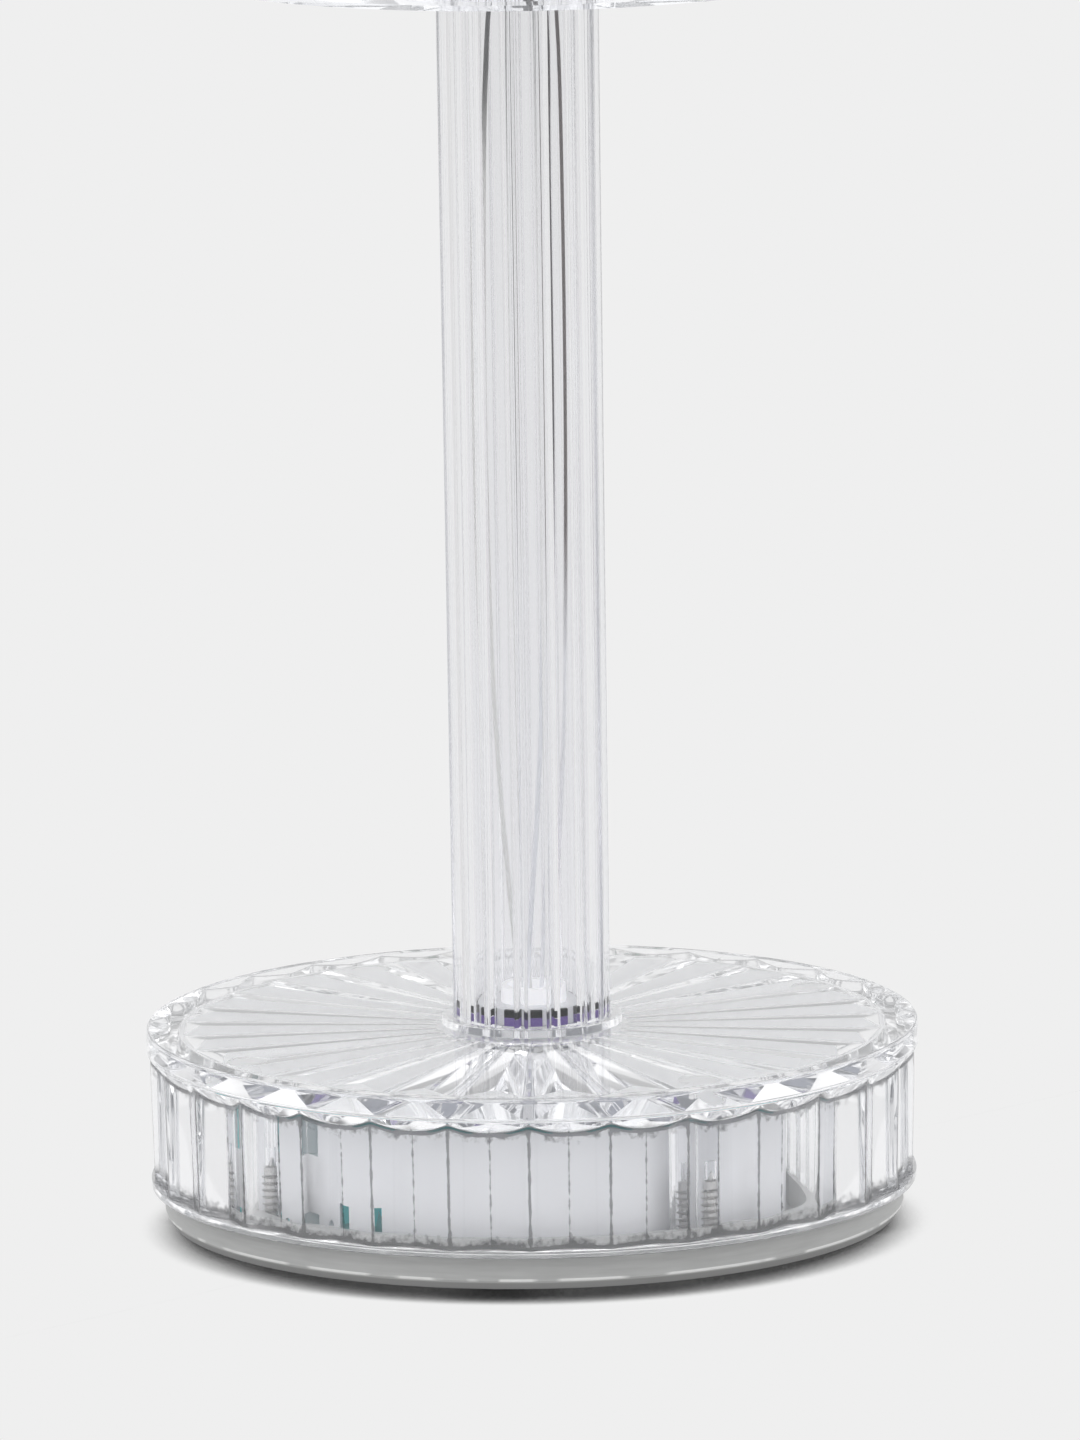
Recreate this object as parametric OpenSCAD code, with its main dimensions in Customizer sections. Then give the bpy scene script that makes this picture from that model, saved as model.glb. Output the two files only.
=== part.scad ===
// Rechargeable table lamp in clear acrylic.
// Two fluted drums with sunburst discs, joined by a fluted hollow column:
// the lower drum is the base with the cell and boards, the upper drum is the shade.
// The origin is on the surface that the lamp stands on, on the lamp's axis. Millimetres, +Z up.

/* [Drums] */
// Number of flutes round a drum, and of rays in its sunburst
flute_count = 30; // [24:1:36]
// Depth of a flute from its sharp edge to its deepest line
flute_depth = 1.9; // [1.5:0.1:3]
// Height over which the top end of a flute slopes out to the edge
flute_run = 1.7; // [1:0.1:2.2]
// Height of the smooth band round the edge of a sunburst disc
rim_h = 3; // [2.6:0.1:3.6]
// How far the disc stands out past the flutes
rim_lip = 0.2; // [0.1:0.05:0.5]
// Radius of the disc's rounded top edge
rim_round = 0.6; // [0.3:0.05:1]
// Height of the plain ring at the foot of the fluted wall
lip_h = 0.9; // [0.6:0.1:1.5]
// How much narrower the fluted wall is at its foot
draft = 0.3; // [0:0.05:0.6]
// Wall thickness behind the deepest line of a flute
wall_t = 2.2; // [1.8:0.1:2.6]
// Thickness of a sunburst disc
disc_t = 3.2; // [3:0.1:3.3]
// Depth of a ray at its outer end
ray_depth = 1.8; // [1.2:0.1:2]
// Flat left between two neighbouring rays, in degrees
ray_land = 1.2; // [0.6:0.1:2]
// Turn of the flutes and rays about the axis, in degrees
pattern_turn = 5.3; // [0:0.1:12]
// Gap that shows between a drum and its plate
seam = 0.3; // [0.2:0.05:0.5]

/* [Base] */
// Radius of the base's sunburst disc
base_r = 50; // [49:0.5:56]
// Height of the base's clear shell
base_shell_h = 20.7; // [20.3:0.1:26]
// Height of the straight band of the base plate
band_h = 2.9; // [2.6:0.1:4]
// Height of the chamfer under the band
chamfer_h = 1.2; // [0.8:0.1:1.6]
// Width of the chamfer
chamfer_w = 0.8; // [0.4:0.1:1.4]
// How far a plate lies inside the foot of its drum
plate_inset = 1.6; // [1:0.1:2]
// Thickness of a plate's floor
floor_t = 2; // [1.6:0.1:2.4]
// Height of the plate's inner ring inside the drum
spigot_h = 2.2; // [1.5:0.1:3]
// Wall of the plate's inner ring
spigot_t = 1.6; // [1.2:0.1:2]

/* [Feet and base screws] */
// Number of feet, and of screws
foot_count = 4; // [3:1:4]
// Radius of a silicone foot
foot_r = 4; // [3:0.25:5]
// How far a foot stands out under the plate
foot_proud = 0.9; // [0.6:0.1:1.5]
// Depth of the recess that holds a foot
foot_recess = 0.8; // [0.5:0.1:1]
// Distance from a foot to the edge of the plate's underside
foot_inset = 2.1; // [1:0.1:4]
// Turn of the first foot about the axis, in degrees
foot_turn = -97; // [-100:0.5:-90]
// Direction of the first base screw, in degrees
screw_turn = -60; // [-64:0.5:-46]
// Radius of a screw's thread
screw_r = 1.3; // [1.1:0.05:1.4]
// Length of a screw under its head
screw_l = 12; // [9:0.5:14]
// Pitch of a screw's thread
screw_pitch = 0.9; // [0.8:0.05:1.2]
// Radius of a screw's head
screw_head_r = 2.4; // [2.1:0.1:2.6]
// Height of a screw's head
screw_head_h = 1; // [0.9:0.05:1.2]
// Radius of a screw boss
boss_r = 2.6; // [2.4:0.1:2.8]
// Gap between a screw boss and the base's wall
boss_gap = 1; // [0.5:0.1:1.5]

/* [Column] */
// Length of column that shows between base and shade
column_l = 138.5; // [90:0.5:180]
// Radius over the ribs at the foot
column_foot_r = 10.15; // [9.8:0.05:10.6]
// Radius over the ribs at the top
column_top_r = 10.5; // [10.2:0.05:11]
// Number of ribs
rib_count = 15; // [12:1:18]
// Depth of the groove between two ribs
groove_depth = 1.1; // [0.6:0.05:1.4]
// Share of a rib's pitch that its flat face takes
rib_share = 0.58; // [0.4:0.02:0.7]
// Radius of the column's bore
bore_r = 7.4; // [7:0.1:7.8]
// Thickness of the floor that closes the column's foot
web_t = 3; // [1:0.1:3.2]
// Depth of the socket that takes the column's end
socket_d = 2.2; // [1.8:0.1:2.4]
// Depth of the socket under the shade
top_socket_d = 5; // [4:0.1:6]
// Radial clearance of the column's ends in their sockets
socket_gap = 0.1; // [0.05:0.01:0.2]
// Radius of the collar round the column's foot
collar_r = 11.7; // [11.5:0.1:12.5]
// Height of the collar over the disc
collar_h = 1; // [0.6:0.1:2]

/* [Column fixing] */
// Radius of the hollow nipple that clamps the column down
nipple_r = 4.2; // [3.8:0.1:4.6]
// Radius of the wire hole through the nipple
nipple_bore_r = 2.9; // [2.6:0.1:3]
// How far the nipple stands over the base's disc
nipple_up = 5; // [4.5:0.1:7]
// Height of the violet washer in the column's foot
washer_h = 2.2; // [1.6:0.1:2.8]
// Height of the black nut on the washer
nut_h = 1.1; // [0.6:0.1:1.4]
// Height of the nipple's head under the hub
nipple_head_h = 0.9; // [0.7:0.05:1]
// Running clearance between fitted round pieces
fit = 0.05; // [0.03:0.01:0.1]

/* [Battery and boards] */
// Diameter of the round cell
cell_d = 18.4; // [17.5:0.1:18.5]
// Length of the round cell
cell_l = 65; // [58:0.5:66]
// How far the cell's axis lies from the lamp's axis
cell_offset = 8.4; // [8:0.1:8.6]
// Gap between the white inner drum and the screw bosses
drum_gap = 0.6; // [0.3:0.1:1]
// Wall of the inner drum
drum_t = 1.2; // [1:0.1:1.4]
// Height of the inner drum over the plate's floor
drum_h = 17.6; // [14:0.1:18.5]
// Thickness of the circuit boards
board_t = 1.2; // [1:0.1:1.6]
// Height of the control board over the plate's floor
board_up = 3; // [2:0.1:5]
// Length of the control board, along Y
board_l = 38; // [30:0.5:40]
// Width of the control board, along X
board_w = 20; // [16:0.5:20]
// Width of the charging socket
usb_w = 8.9; // [8.6:0.1:9.2]
// Height of the charging socket
usb_h = 3.2; // [3:0.1:3.4]
// Depth of the charging socket
usb_d = 7.3; // [6.8:0.1:7.6]
// Gap between the charging socket and its slot in the wall
usb_gap = 0.25; // [0.15:0.05:0.4]
// Height of the charging socket's floor over the plate's floor
usb_up = 5; // [4:0.1:7]
// Radius of a wire with its sleeve
wire_r = 0.45; // [0.4:0.05:0.8]

/* [Shade] */
// Radius of the shade's sunburst disc
shade_r = 50; // [46:0.5:60]
// Height of the shade's clear shell
shade_shell_h = 70; // [60:0.5:90]
// Height of the straight band of the shade's plate
shade_band_h = 0.9; // [0.7:0.1:2]
// Radius of the hole for the touch button
button_hole_r = 7; // [6:0.1:8]
// Running gap between the shade and what it is lowered over
shade_gap = 0.35; // [0.3:0.05:0.6]

/* [Light] */
// Radius of the white reflector
reflector_r = 37; // [36.5:0.5:40]
// Height of the reflector's dish
reflector_h = 3; // [2.4:0.1:4]
// Thickness of the reflector
reflector_t = 1.2; // [1:0.1:1.6]
// Gap between the diffuser and a reflector screw
reflector_screw_gap = 1.2; // [0.6:0.1:1.6]
// Length of a reflector screw under its head
reflector_screw_l = 5; // [4:0.5:5.5]
// Radius of the light board
light_board_r = 24; // [20:0.5:26]
// Number of light diodes round the board
diode_count = 12; // [8:1:16]
// Radius of the circle that the diodes lie on
diode_circle_r = 17; // [12:0.5:18]
// Radius of the frosted diffuser
diffuser_r = 28; // [27:0.5:28.5]
// Wall of the diffuser
diffuser_t = 1.4; // [1:0.1:1.6]
// Radius of the touch contact's post
post_r = 3.2; // [2.8:0.1:4]
// Length of the post between the diffuser and the spring
post_l = 5.6; // [3:0.1:20]
// Wire radius of the touch contact's spring
spring_wire_r = 0.4; // [0.3:0.05:0.5]
// Number of turns of the spring
spring_turns = 5; // [3:1:6]
// Height of the spring
spring_h = 6; // [5:0.5:8]
// Radius of the touch button's cap
button_r = 9.5; // [9:0.1:12]
// Height of the cap over the shade
button_h = 2.2; // [1.6:0.1:4]
// Height of the nut that holds the button
button_nut_h = 2.4; // [1.6:0.1:3]

/* [Hidden] */
$fn = 96;
eps = 0.01;
pitch = 360 / flute_count;

// radii of a drum of disc radius r: sharp edges, cavity, plate
function edge_r(r) = r - rim_lip;
function cavity_r(r) = edge_r(r) - flute_depth - wall_t;
function plate_r(r) = edge_r(r) - draft - plate_inset;
function polar(r, a) = [r * cos(a), r * sin(a)];

// heights of the base, from the feet up
plate_z = foot_proud;
plate_h = chamfer_h + band_h;
floor_z = plate_z + floor_t;
shell_z = plate_z + plate_h + seam;
base_top = shell_z + base_shell_h;
base_ceiling = base_top - disc_t;
column_z = base_top - socket_d;
screw_seat_z = plate_z + screw_head_h + 0.2;
boss_z = floor_z + fit;

// feet, screws and inner drum, from the base's wall inwards
foot_circle_r = plate_r(base_r) - chamfer_w - foot_inset - foot_r;
screw_circle_r = cavity_r(base_r) - boss_gap - boss_r;
drum_r = screw_circle_r - boss_r - drum_gap;

// inside the base
cell_z = floor_z + cell_d / 2 + 0.3;
cell_end = 1.8;
saddle_y = cell_l / 2 - 6;
saddle_t = 1.4;
bar_h = 1;
window_turn = -128;
cell_window_turn = -146;
board_x = 3;
board_z = floor_z + board_up;
board_top = board_z + board_t;
wire_lift = wire_r + 0.1;
lead_room = 2 * wire_lift + 0.9;
charge_board_w = 14;
charge_board_y = drum_r + 0.3;
charge_board_end = sqrt(pow(cavity_r(base_r) - 0.4, 2) - pow(charge_board_w / 2, 2));
usb_z = floor_z + usb_up;
usb_mouth_y = cavity_r(base_r) + wall_t - 0.2;
usb_back_y = usb_mouth_y - usb_d;

// column and its fixing
column_h = socket_d + column_l + top_socket_d;
column_turn = -86;
nipple_z = base_ceiling - nipple_head_h;
washer_z = column_z + web_t;
nut_z = base_top + washer_h;

// heights of the shade
shade_z = base_top + column_l;
shade_floor_z = shade_z + floor_t;
hub_r = column_top_r + socket_gap + 2;
hub_h = top_socket_d + 1.6;
reflector_z = shade_z + hub_h;
dish_z = reflector_z + reflector_t;
light_top = dish_z + board_t;
shade_shell_z = shade_z + chamfer_w + shade_band_h + seam;
shade_top = shade_shell_z + shade_shell_h;
shade_ceiling = shade_top - disc_t;
reflector_screw_r = diffuser_r + reflector_screw_gap + screw_head_r;
stem_r = button_hole_r - 0.2;
stem_z = shade_ceiling - button_nut_h - 0.6;
spring_top = stem_z - shade_gap;
spring_z = spring_top - spring_h;
diffuser_top = spring_z - post_l;
diffuser_h = diffuser_top - dish_z;
neck_r = 5;

// ----- shapes that base and shade share -----

// outline of the fluted wall: sharp edges at r, deepest lines at r - flute_depth
module flute_outline(r)
    polygon([for (i = [0:2 * flute_count - 1])
        polar(r - (i % 2) * flute_depth, pattern_turn + i * pitch / 2)]);

// disc with a rounded top edge, from z = 0 to rim_h, over the cone that ends the flutes
module rim_disc(r) {
    run = 1.25 * flute_run;
    step = 1.25 * (flute_depth + rim_lip);
    rotate_extrude()
        polygon(concat(
            [[0, -run], [r - step, -run], [r, 0]],
            [for (a = [0:15:90]) [r - rim_round, rim_h - rim_round] + rim_round * [cos(a), sin(a)]],
            [[0, rim_h]]
        ));
}

// solid drum with a fluted wall, from z = 0 to h
module drum_body(r, h) {
    foot = edge_r(r) - draft;
    flutes_top = h - rim_h;
    lap = 0.5;
    cylinder(r = foot + 0.1, h = lip_h);
    translate([0, 0, lip_h - lap])
        linear_extrude(flutes_top - lip_h + 2 * lap, scale = edge_r(r) / foot)
            flute_outline(foot);
    translate([0, 0, flutes_top])
        rim_disc(r);
}

// one ray: a V groove under a disc that widens and deepens outwards, with a sloped outer end
module ray(r_in, r_out) {
    below = 0.5;
    widen = tan((pitch - ray_land) / 2);
    deepen = ray_depth / (r_out - ray_depth);
    low_out = r_out + below;
    w_in = widen * (r_in + below / deepen);
    w_out = widen * (low_out + below / deepen);
    polyhedron(
        points = [
            [r_in, -w_in, -below], [r_in, w_in, -below], [r_in, 0, deepen * r_in],
            [low_out, -w_out, -below], [low_out, w_out, -below], [r_out - ray_depth, 0, ray_depth]
        ],
        faces = [[0, 2, 5, 3], [1, 4, 5, 2], [3, 5, 4], [0, 1, 2], [0, 3, 4, 1]]
    );
}

// hollow drum with the sunburst under its disc
module sunburst_drum(r, h, r_in)
    difference() {
        drum_body(r, h);
        translate([0, 0, -1])
            cylinder(r = cavity_r(r), h = h - disc_t + 1);
        for (i = [0:flute_count - 1])
            rotate(pattern_turn + (i + 0.5) * pitch)
                translate([0, 0, h - disc_t])
                    ray(r_in, cavity_r(r) - 0.8);
    }

// round plate that closes a drum, from z = 0: chamfered band, floor and inner ring
module drum_plate(r, chamfer, band, step, gap) {
    outer = plate_r(r);
    ring_r = cavity_r(r) - gap;
    top = chamfer + band;
    difference() {
        rotate_extrude()
            polygon([
                [0, 0], [outer - chamfer_w, 0], [outer, chamfer], [outer, top],
                [ring_r, top], [ring_r, top + step], [0, top + step]
            ]);
        translate([0, 0, floor_t])
            cylinder(r = ring_r - spigot_t, h = top + step);
    }
}

// flat ring, from z = 0
module washer(outer, inner, h)
    difference() {
        cylinder(r = outer, h = h);
        translate([0, 0, -1])
            cylinder(r = inner, h = h + 2);
    }

// screw with its head at z = 0 and its thread upwards, cross recess in the head
module self_tapping_screw(r, l, head_r, head_h) {
    core = r * 0.76;
    ridges = floor((l - r) / screw_pitch);
    difference() {
        rotate_extrude($fn = 32)
            polygon([[0, 0], [head_r * 0.8, 0], [head_r, head_h * 0.4], [head_r, head_h], [0, head_h]]);
        for (a = [0, 90])
            rotate(a)
                translate([-head_r * 0.6, -0.3, -1])
                    cube([head_r * 1.2, 0.6, 1 + head_h * 0.5]);
    }
    rotate_extrude($fn = 32)
        polygon(concat(
            [[0, head_h - eps], [core, head_h - eps]],
            [for (i = [0:ridges - 1]) each [
                [core, head_h + (i + 0.25) * screw_pitch],
                [r - 0.02, head_h + (i + 0.5) * screw_pitch],
                [core, head_h + (i + 0.75) * screw_pitch]
            ]],
            [[core, head_h + l - r], [0.1, head_h + l], [0, head_h + l]]
        ));
}

// ----- where repeated pieces stand -----

module at_feet()
    for (i = [0:foot_count - 1])
        rotate(foot_turn + i * 360 / foot_count)
            translate([foot_circle_r, 0, 0])
                children();

module at_base_screws()
    for (i = [0:foot_count - 1])
        rotate(screw_turn + i * 360 / foot_count)
            translate([screw_circle_r, 0, 0])
                children();

module at_reflector_screws()
    for (i = [0:2])
        rotate(30 + 120 * i)
            translate([reflector_screw_r, 0, 0])
                children();

// bar with round sides along Y: the charging socket's outline, grown all round
module usb_bar(grow, from_y, to_y) {
    flat_w = usb_w - usb_h;
    for (side = [-1, 1])
        translate([side * flat_w / 2, from_y, usb_z + usb_h / 2])
            rotate([-90, 0, 0])
                cylinder(r = usb_h / 2 + grow, h = to_y - from_y, $fn = 32);
    translate([-flat_w / 2, from_y, usb_z - grow])
        cube([flat_w, to_y - from_y, usb_h + 2 * grow]);
}

// ----- wires: tubes swept along chosen points -----

function unit(v) = v / norm(v);
function tangent(p, i) = unit(p[min(i + 1, len(p) - 1)] - p[max(i - 1, 0)]);

// points of a smooth curve through p, with n steps for each stretch
function smooth(p, n) = [
    for (i = [0:len(p) - 2], k = [0:n - 1])
        let (t = k / n, a = p[max(i - 1, 0)], b = p[i], c = p[i + 1], d = p[min(i + 2, len(p) - 1)])
            0.5 * (2 * b + (c - a) * t + (2 * a - 5 * b + 4 * c - d) * t * t
                + (3 * b - a - 3 * c + d) * t * t * t),
    p[len(p) - 1]
];

// tube of radius r along p; across is a direction that p never runs along
module swept_tube(p, r, across) {
    n = len(p);
    sides = 8;
    faces_round = [
        for (i = [0:n - 2], k = [0:sides - 1])
            let (a = i * sides + k, b = i * sides + (k + 1) % sides)
                each [[a, a + sides, b], [b, a + sides, b + sides]]
    ];
    polyhedron(
        points = [
            for (i = [0:n - 1])
                let (t = tangent(p, i), u = unit(cross(t, across)), v = cross(t, u))
                    for (k = [0:sides - 1])
                        p[i] + r * (cos(360 * k / sides) * u + sin(360 * k / sides) * v)
        ],
        faces = concat(
            faces_round,
            [[for (k = [0:sides - 1]) k]],
            [[for (k = [sides - 1:-1:0]) (n - 1) * sides + k]]
        )
    );
}

// ----- base -----

module base_shell()
    color([0.9, 0.93, 0.95, 0.4])
    difference() {
        union() {
            translate([0, 0, shell_z])
                sunburst_drum(base_r, base_shell_h, collar_r + 0.8);
            // collar round the column's foot
            translate([0, 0, base_top - 1])
                cylinder(r = collar_r, h = collar_h + 1);
            // screw bosses
            at_base_screws()
                translate([0, 0, boss_z])
                    cylinder(r = boss_r, h = base_top - 1 - boss_z, $fn = 32);
        }
        // socket for the column and hole for the nipple
        translate([0, 0, column_z])
            cylinder(r = column_foot_r + socket_gap, h = socket_d + collar_h + 1);
        translate([0, 0, base_ceiling - 1])
            cylinder(r = nipple_r + fit, h = disc_t);
        at_base_screws()
            translate([0, 0, boss_z - 1])
                cylinder(r = screw_r, h = screw_l + 1.5, $fn = 32);
        usb_bar(usb_gap, cavity_r(base_r) - 1, base_r + 1);
    }

module base_plate()
    color([0.78, 0.8, 0.81, 0.6])
    difference() {
        translate([0, 0, plate_z])
            drum_plate(base_r, chamfer_h, band_h, spigot_h, fit);
        // room for the bosses beside the inner ring
        at_base_screws()
            translate([0, 0, floor_z])
                cylinder(r = boss_r + 0.2, h = plate_h + spigot_h, $fn = 32);
        at_base_screws()
            translate([0, 0, plate_z - 1])
                cylinder(r = screw_r + 0.15, h = floor_t + 2, $fn = 32);
        at_base_screws()
            translate([0, 0, plate_z - 1])
                cylinder(r = screw_head_r + 0.15, h = screw_seat_z - plate_z + 1, $fn = 32);
        at_feet()
            translate([0, 0, plate_z - 1])
                cylinder(r = foot_r + fit, h = foot_recess + 1, $fn = 48);
        // notch in the inner ring for the charging board
        translate([-charge_board_w / 2 - 0.5, charge_board_y, usb_z - board_t - 0.4])
            cube([charge_board_w + 1, charge_board_end - charge_board_y + 1, spigot_h + plate_h]);
    }

// silicone domes, flat where the lamp stands on them
module feet()
    color([0.86, 0.88, 0.88, 0.7])
    at_feet()
        rotate_extrude($fn = 48)
            polygon([
                [0, 0], [foot_r * 0.62, 0], [foot_r * 0.85, foot_proud * 0.3],
                [foot_r, foot_proud * 0.8], [foot_r, foot_proud + foot_recess],
                [0, foot_proud + foot_recess]
            ]);

module base_screws()
    color("silver")
    at_base_screws()
        translate([0, 0, screw_seat_z - screw_head_h])
            self_tapping_screw(screw_r, screw_l, screw_head_r, screw_head_h);

// ----- inside the base -----

// low bar along X at y, from from_x to the inner drum's wall
module floor_bar(y, w, from_x)
    translate([0, 0, floor_z])
        intersection() {
            translate([from_x, y - w / 2, 0])
                cube([2 * drum_r, w, bar_h]);
            cylinder(r = drum_r - drum_t / 2, h = bar_h);
        }

// turns the cell and the control board so that the cell lies across the front
module across()
    rotate(90)
        children();

// drum with bars and saddles for the cell and posts for the board
module drum_frame() {
    difference() {
        translate([0, 0, floor_z])
            cylinder(r = drum_r, h = drum_h);
        translate([0, 0, floor_z - 1])
            cylinder(r = drum_r - drum_t, h = drum_h + 2);
    }
    across() {
        for (y = [-saddle_y, saddle_y]) {
            floor_bar(y, saddle_t, -drum_r);
            translate([-cell_offset - cell_d / 2, y - saddle_t / 2, floor_z])
                cube([cell_d, saddle_t, cell_d * 0.3]);
        }
        for (y = [-board_l / 2 + 2, board_l / 2 - 2]) {
            floor_bar(y, 3.2, board_x + 1);
            for (x = [board_x + 2, board_x + board_w - 2])
                translate([x, y, floor_z])
                    cylinder(r = 1.6, h = board_up, $fn = 32);
        }
    }
}

// opening in the drum's wall, w wide, from z = from_z to to_z
module wall_window(turn, w, from_z, to_z)
    rotate(turn)
        translate([drum_r - 2 * drum_t, -w / 2, from_z])
            cube([3 * drum_t, w, to_z - from_z]);

module inner_drum()
    color([0.95, 0.95, 0.97])
    difference() {
        drum_frame();
        // room for the cell and for the leads at its ends
        across() {
            translate([-cell_offset, cell_l / 2 + 0.3, cell_z])
                rotate([90, 0, 0])
                    cylinder(r = cell_d / 2 + fit, h = cell_l + 0.6);
            translate([-cell_offset - 3, -cell_l / 2 - lead_room, cell_z - 3])
                cube([cell_d, cell_l + 2 * lead_room, cell_d]);
        }
        // windows at the foot of the wall, with a small vent beside each
        for (turn = [window_turn, window_turn + 180]) {
            wall_window(turn, 6, floor_z + 1.4, floor_z + 6.4);
            rotate(turn - 9)
                translate([drum_r - 2 * drum_t, 0, floor_z + 3])
                    rotate([0, 90, 0])
                        cylinder(r = 0.7, h = 3 * drum_t, $fn = 32);
        }
        // openings over and under a band beside the cell's end
        wall_window(cell_window_turn, 4, floor_z - 1, cell_z - cell_d * 0.3);
        wall_window(cell_window_turn, 4, cell_z + cell_d * 0.12, floor_z + drum_h + 1);
        // notch for the charging leads
        wall_window(90, 8, usb_z, usb_z + 2.4);
    }

module battery_cell()
    across()
    translate([-cell_offset, cell_l / 2, cell_z])
        rotate([90, 0, 0]) {
            color([0.12, 0.62, 0.63])
                rotate_extrude()
                    polygon([
                        [0, 0], [cell_d / 2 - 0.8, 0], [cell_d / 2, 0.8],
                        [cell_d / 2, cell_l - cell_end - 0.8], [cell_d / 2 - 0.8, cell_l - cell_end],
                        [0, cell_l - cell_end]
                    ]);
            color("silver")
                translate([0, 0, cell_l - cell_end - eps])
                    cylinder(r = 3, h = cell_end + eps, $fn = 32);
        }

// leads from the cell's two ends and from the charging board to the control board
module base_leads() {
    side_x = cell_d / 2 - cell_offset;
    for (end = [-1, 1])
        color(end < 0 ? [0.6, 0.12, 0.1] : [0.12, 0.12, 0.13])
            across()
            swept_tube(smooth([
                [-cell_offset, end * (cell_l / 2 + wire_lift), cell_z - 1],
                [-cell_offset + cell_d / 4, end * (cell_l / 2 + wire_lift + 0.4), cell_z],
                [side_x + 2, end * (cell_l / 2 + 0.3), cell_z + 1],
                [side_x + 3, end * (cell_l / 2 - 6), cell_z],
                [board_x + 5, end * (board_l / 2 + 3), board_top + 3],
                [board_x + 5, end * (board_l / 2 - 2), board_top + wire_lift]
            ], 3), wire_r, [0, 0, 1]);
    for (side = [-1, 1])
        color(side < 0 ? [0.6, 0.12, 0.1] : [0.12, 0.12, 0.13])
            swept_tube(smooth([
                [side * 1.6, charge_board_y + 0.5, usb_z + wire_lift],
                [side * 1.6, drum_r - 3, usb_z + 1.2],
                [side * 1.6, board_x + board_w + 4, board_top + 2.4],
                [side * 1.6, board_x + board_w - 1.2, board_top + wire_lift]
            ], 3), wire_r, [0, 0, 1]);
}

module control_board()
    color([0.1, 0.4, 0.28])
    across()
    translate([board_x, -board_l / 2, board_z])
        cube([board_w, board_l, board_t]);

// places a component on the control board, at shares of its width and length
module on_board(x_share, y_share)
    across()
    translate([board_x + board_w * x_share, board_l * (y_share - 0.5), board_top])
        children();

module board_components()
    color([0.1, 0.1, 0.12])
    {
        on_board(0.15, 0.2) cube([5, 4, 1.5]);
        on_board(0.6, 0.18) cube([5, 6.2, 1.6]);
        on_board(0.7, 0.42) cube([4, 4, 2.8]);
        on_board(0.7, 0.6) cube([3.2, 1.6, 0.8]);
        on_board(0.7, 0.7) cube([3.2, 1.6, 0.8]);
        on_board(0.83, 0.09) cylinder(r = 2.4, h = 5.4, $fn = 32);
        on_board(0.1, 0.7) cube([6, 5, 4.2]);
    }

module charging_board()
    color([0.1, 0.4, 0.28]) {
        translate([-charge_board_w / 2, charge_board_y, usb_z - board_t])
            cube([charge_board_w, charge_board_end - charge_board_y, board_t]);
        for (x = [-5.5, 5.5])
            translate([x, charge_board_y + 1.6, floor_z])
                cylinder(r = 1.1, h = usb_up - board_t + eps, $fn = 32);
    }

module charging_socket()
    color("silver")
    difference() {
        usb_bar(0, usb_back_y, usb_mouth_y);
        difference() {
            usb_bar(-0.35, usb_back_y + 1, usb_mouth_y + 1);
            // tongue with the contacts
            translate([-3.2, usb_back_y, usb_z + usb_h / 2 - 0.35])
                cube([6.4, usb_d - 0.8, 0.7]);
        }
    }

// ----- column and its fixing -----

// hollow nipple with a hexagonal head under the disc
module nipple()
    color([0.93, 0.93, 0.92])
    difference() {
        union() {
            translate([0, 0, nipple_z + eps])
                cylinder(r = nipple_r, h = base_top + nipple_up - nipple_z - eps);
            translate([0, 0, nipple_z])
                rotate(30)
                    cylinder(r = nipple_r * 1.6, h = nipple_head_h, $fn = 6);
        }
        translate([0, 0, nipple_z - 1])
            cylinder(r = nipple_bore_r, h = base_top + nipple_up - nipple_z + 2);
    }

module violet_washer()
    color([0.42, 0.33, 0.62])
    translate([0, 0, washer_z])
        washer(bore_r - fit, nipple_r + fit, nut_z - washer_z);

module black_nut()
    color([0.08, 0.08, 0.09])
    translate([0, 0, nut_z])
        washer(bore_r - 2 * fit, nipple_r + fit, nut_h);

// outline of the column: flat ribs with a rounded groove between two of them
module column_outline(r) {
    rib = 360 / rib_count;
    half = rib * rib_share / 2;
    groove = rib - 2 * half;
    polygon([for (i = [0:rib_count - 1]) each concat(
        [polar(r, i * rib - half), polar(r, i * rib + half)],
        [for (k = [1:3]) polar(r - groove_depth * sin(45 * k), i * rib + half + groove * k / 4)]
    )]);
}

module column()
    color([0.92, 0.94, 0.97, 0.4])
    difference() {
        translate([0, 0, column_z])
            linear_extrude(column_h, scale = column_top_r / column_foot_r)
                rotate(column_turn)
                    column_outline(column_foot_r);
        translate([0, 0, washer_z])
            cylinder(r = bore_r, h = column_h);
        translate([0, 0, column_z - 1])
            cylinder(r = nipple_r + fit, h = web_t + 2);
    }

// heights of the points that a wire passes in the column, as shares of its visible length
wire_shares = [0.08, 0.3, 0.55, 0.8, 0.95];

// path of a column wire: from the control board to (x, y) in the nipple, then through the points
// of way, and out of the reflector's neck at the last of them
function column_path(x, y, way) = concat(
    [
        [-y * 3, board_x + 8 + x, board_top + wire_lift], [-y * 2, board_x + 4 + x, board_top + 5],
        [x, y + 2.2, nipple_z - 4], [x, y + 0.2, nipple_z - 0.8], [x, y, base_ceiling + 0.5],
        [x, y, base_top]
    ],
    [for (i = [0:4]) [way[i].x, way[i].y, base_top + column_l * wire_shares[i]]],
    [[way[5].x, way[5].y, shade_floor_z], [way[5].x, way[5].y, reflector_z]]
);

module wire_black()
    color([0.12, 0.12, 0.13])
    swept_tube(smooth(concat(
        column_path(-1.5, -1, [[-0.5, -1], [2.2, -2], [3, -2.6], [3, -2.6], [3, -2.4], [1.2, -2]]),
        [[0.8, -2.8, light_top + 0.6], [-0.4, -5, light_top + 1.6], [-2, -8, light_top + wire_lift]]
    ), 4), wire_r, [0, 1, 0]);

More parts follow.
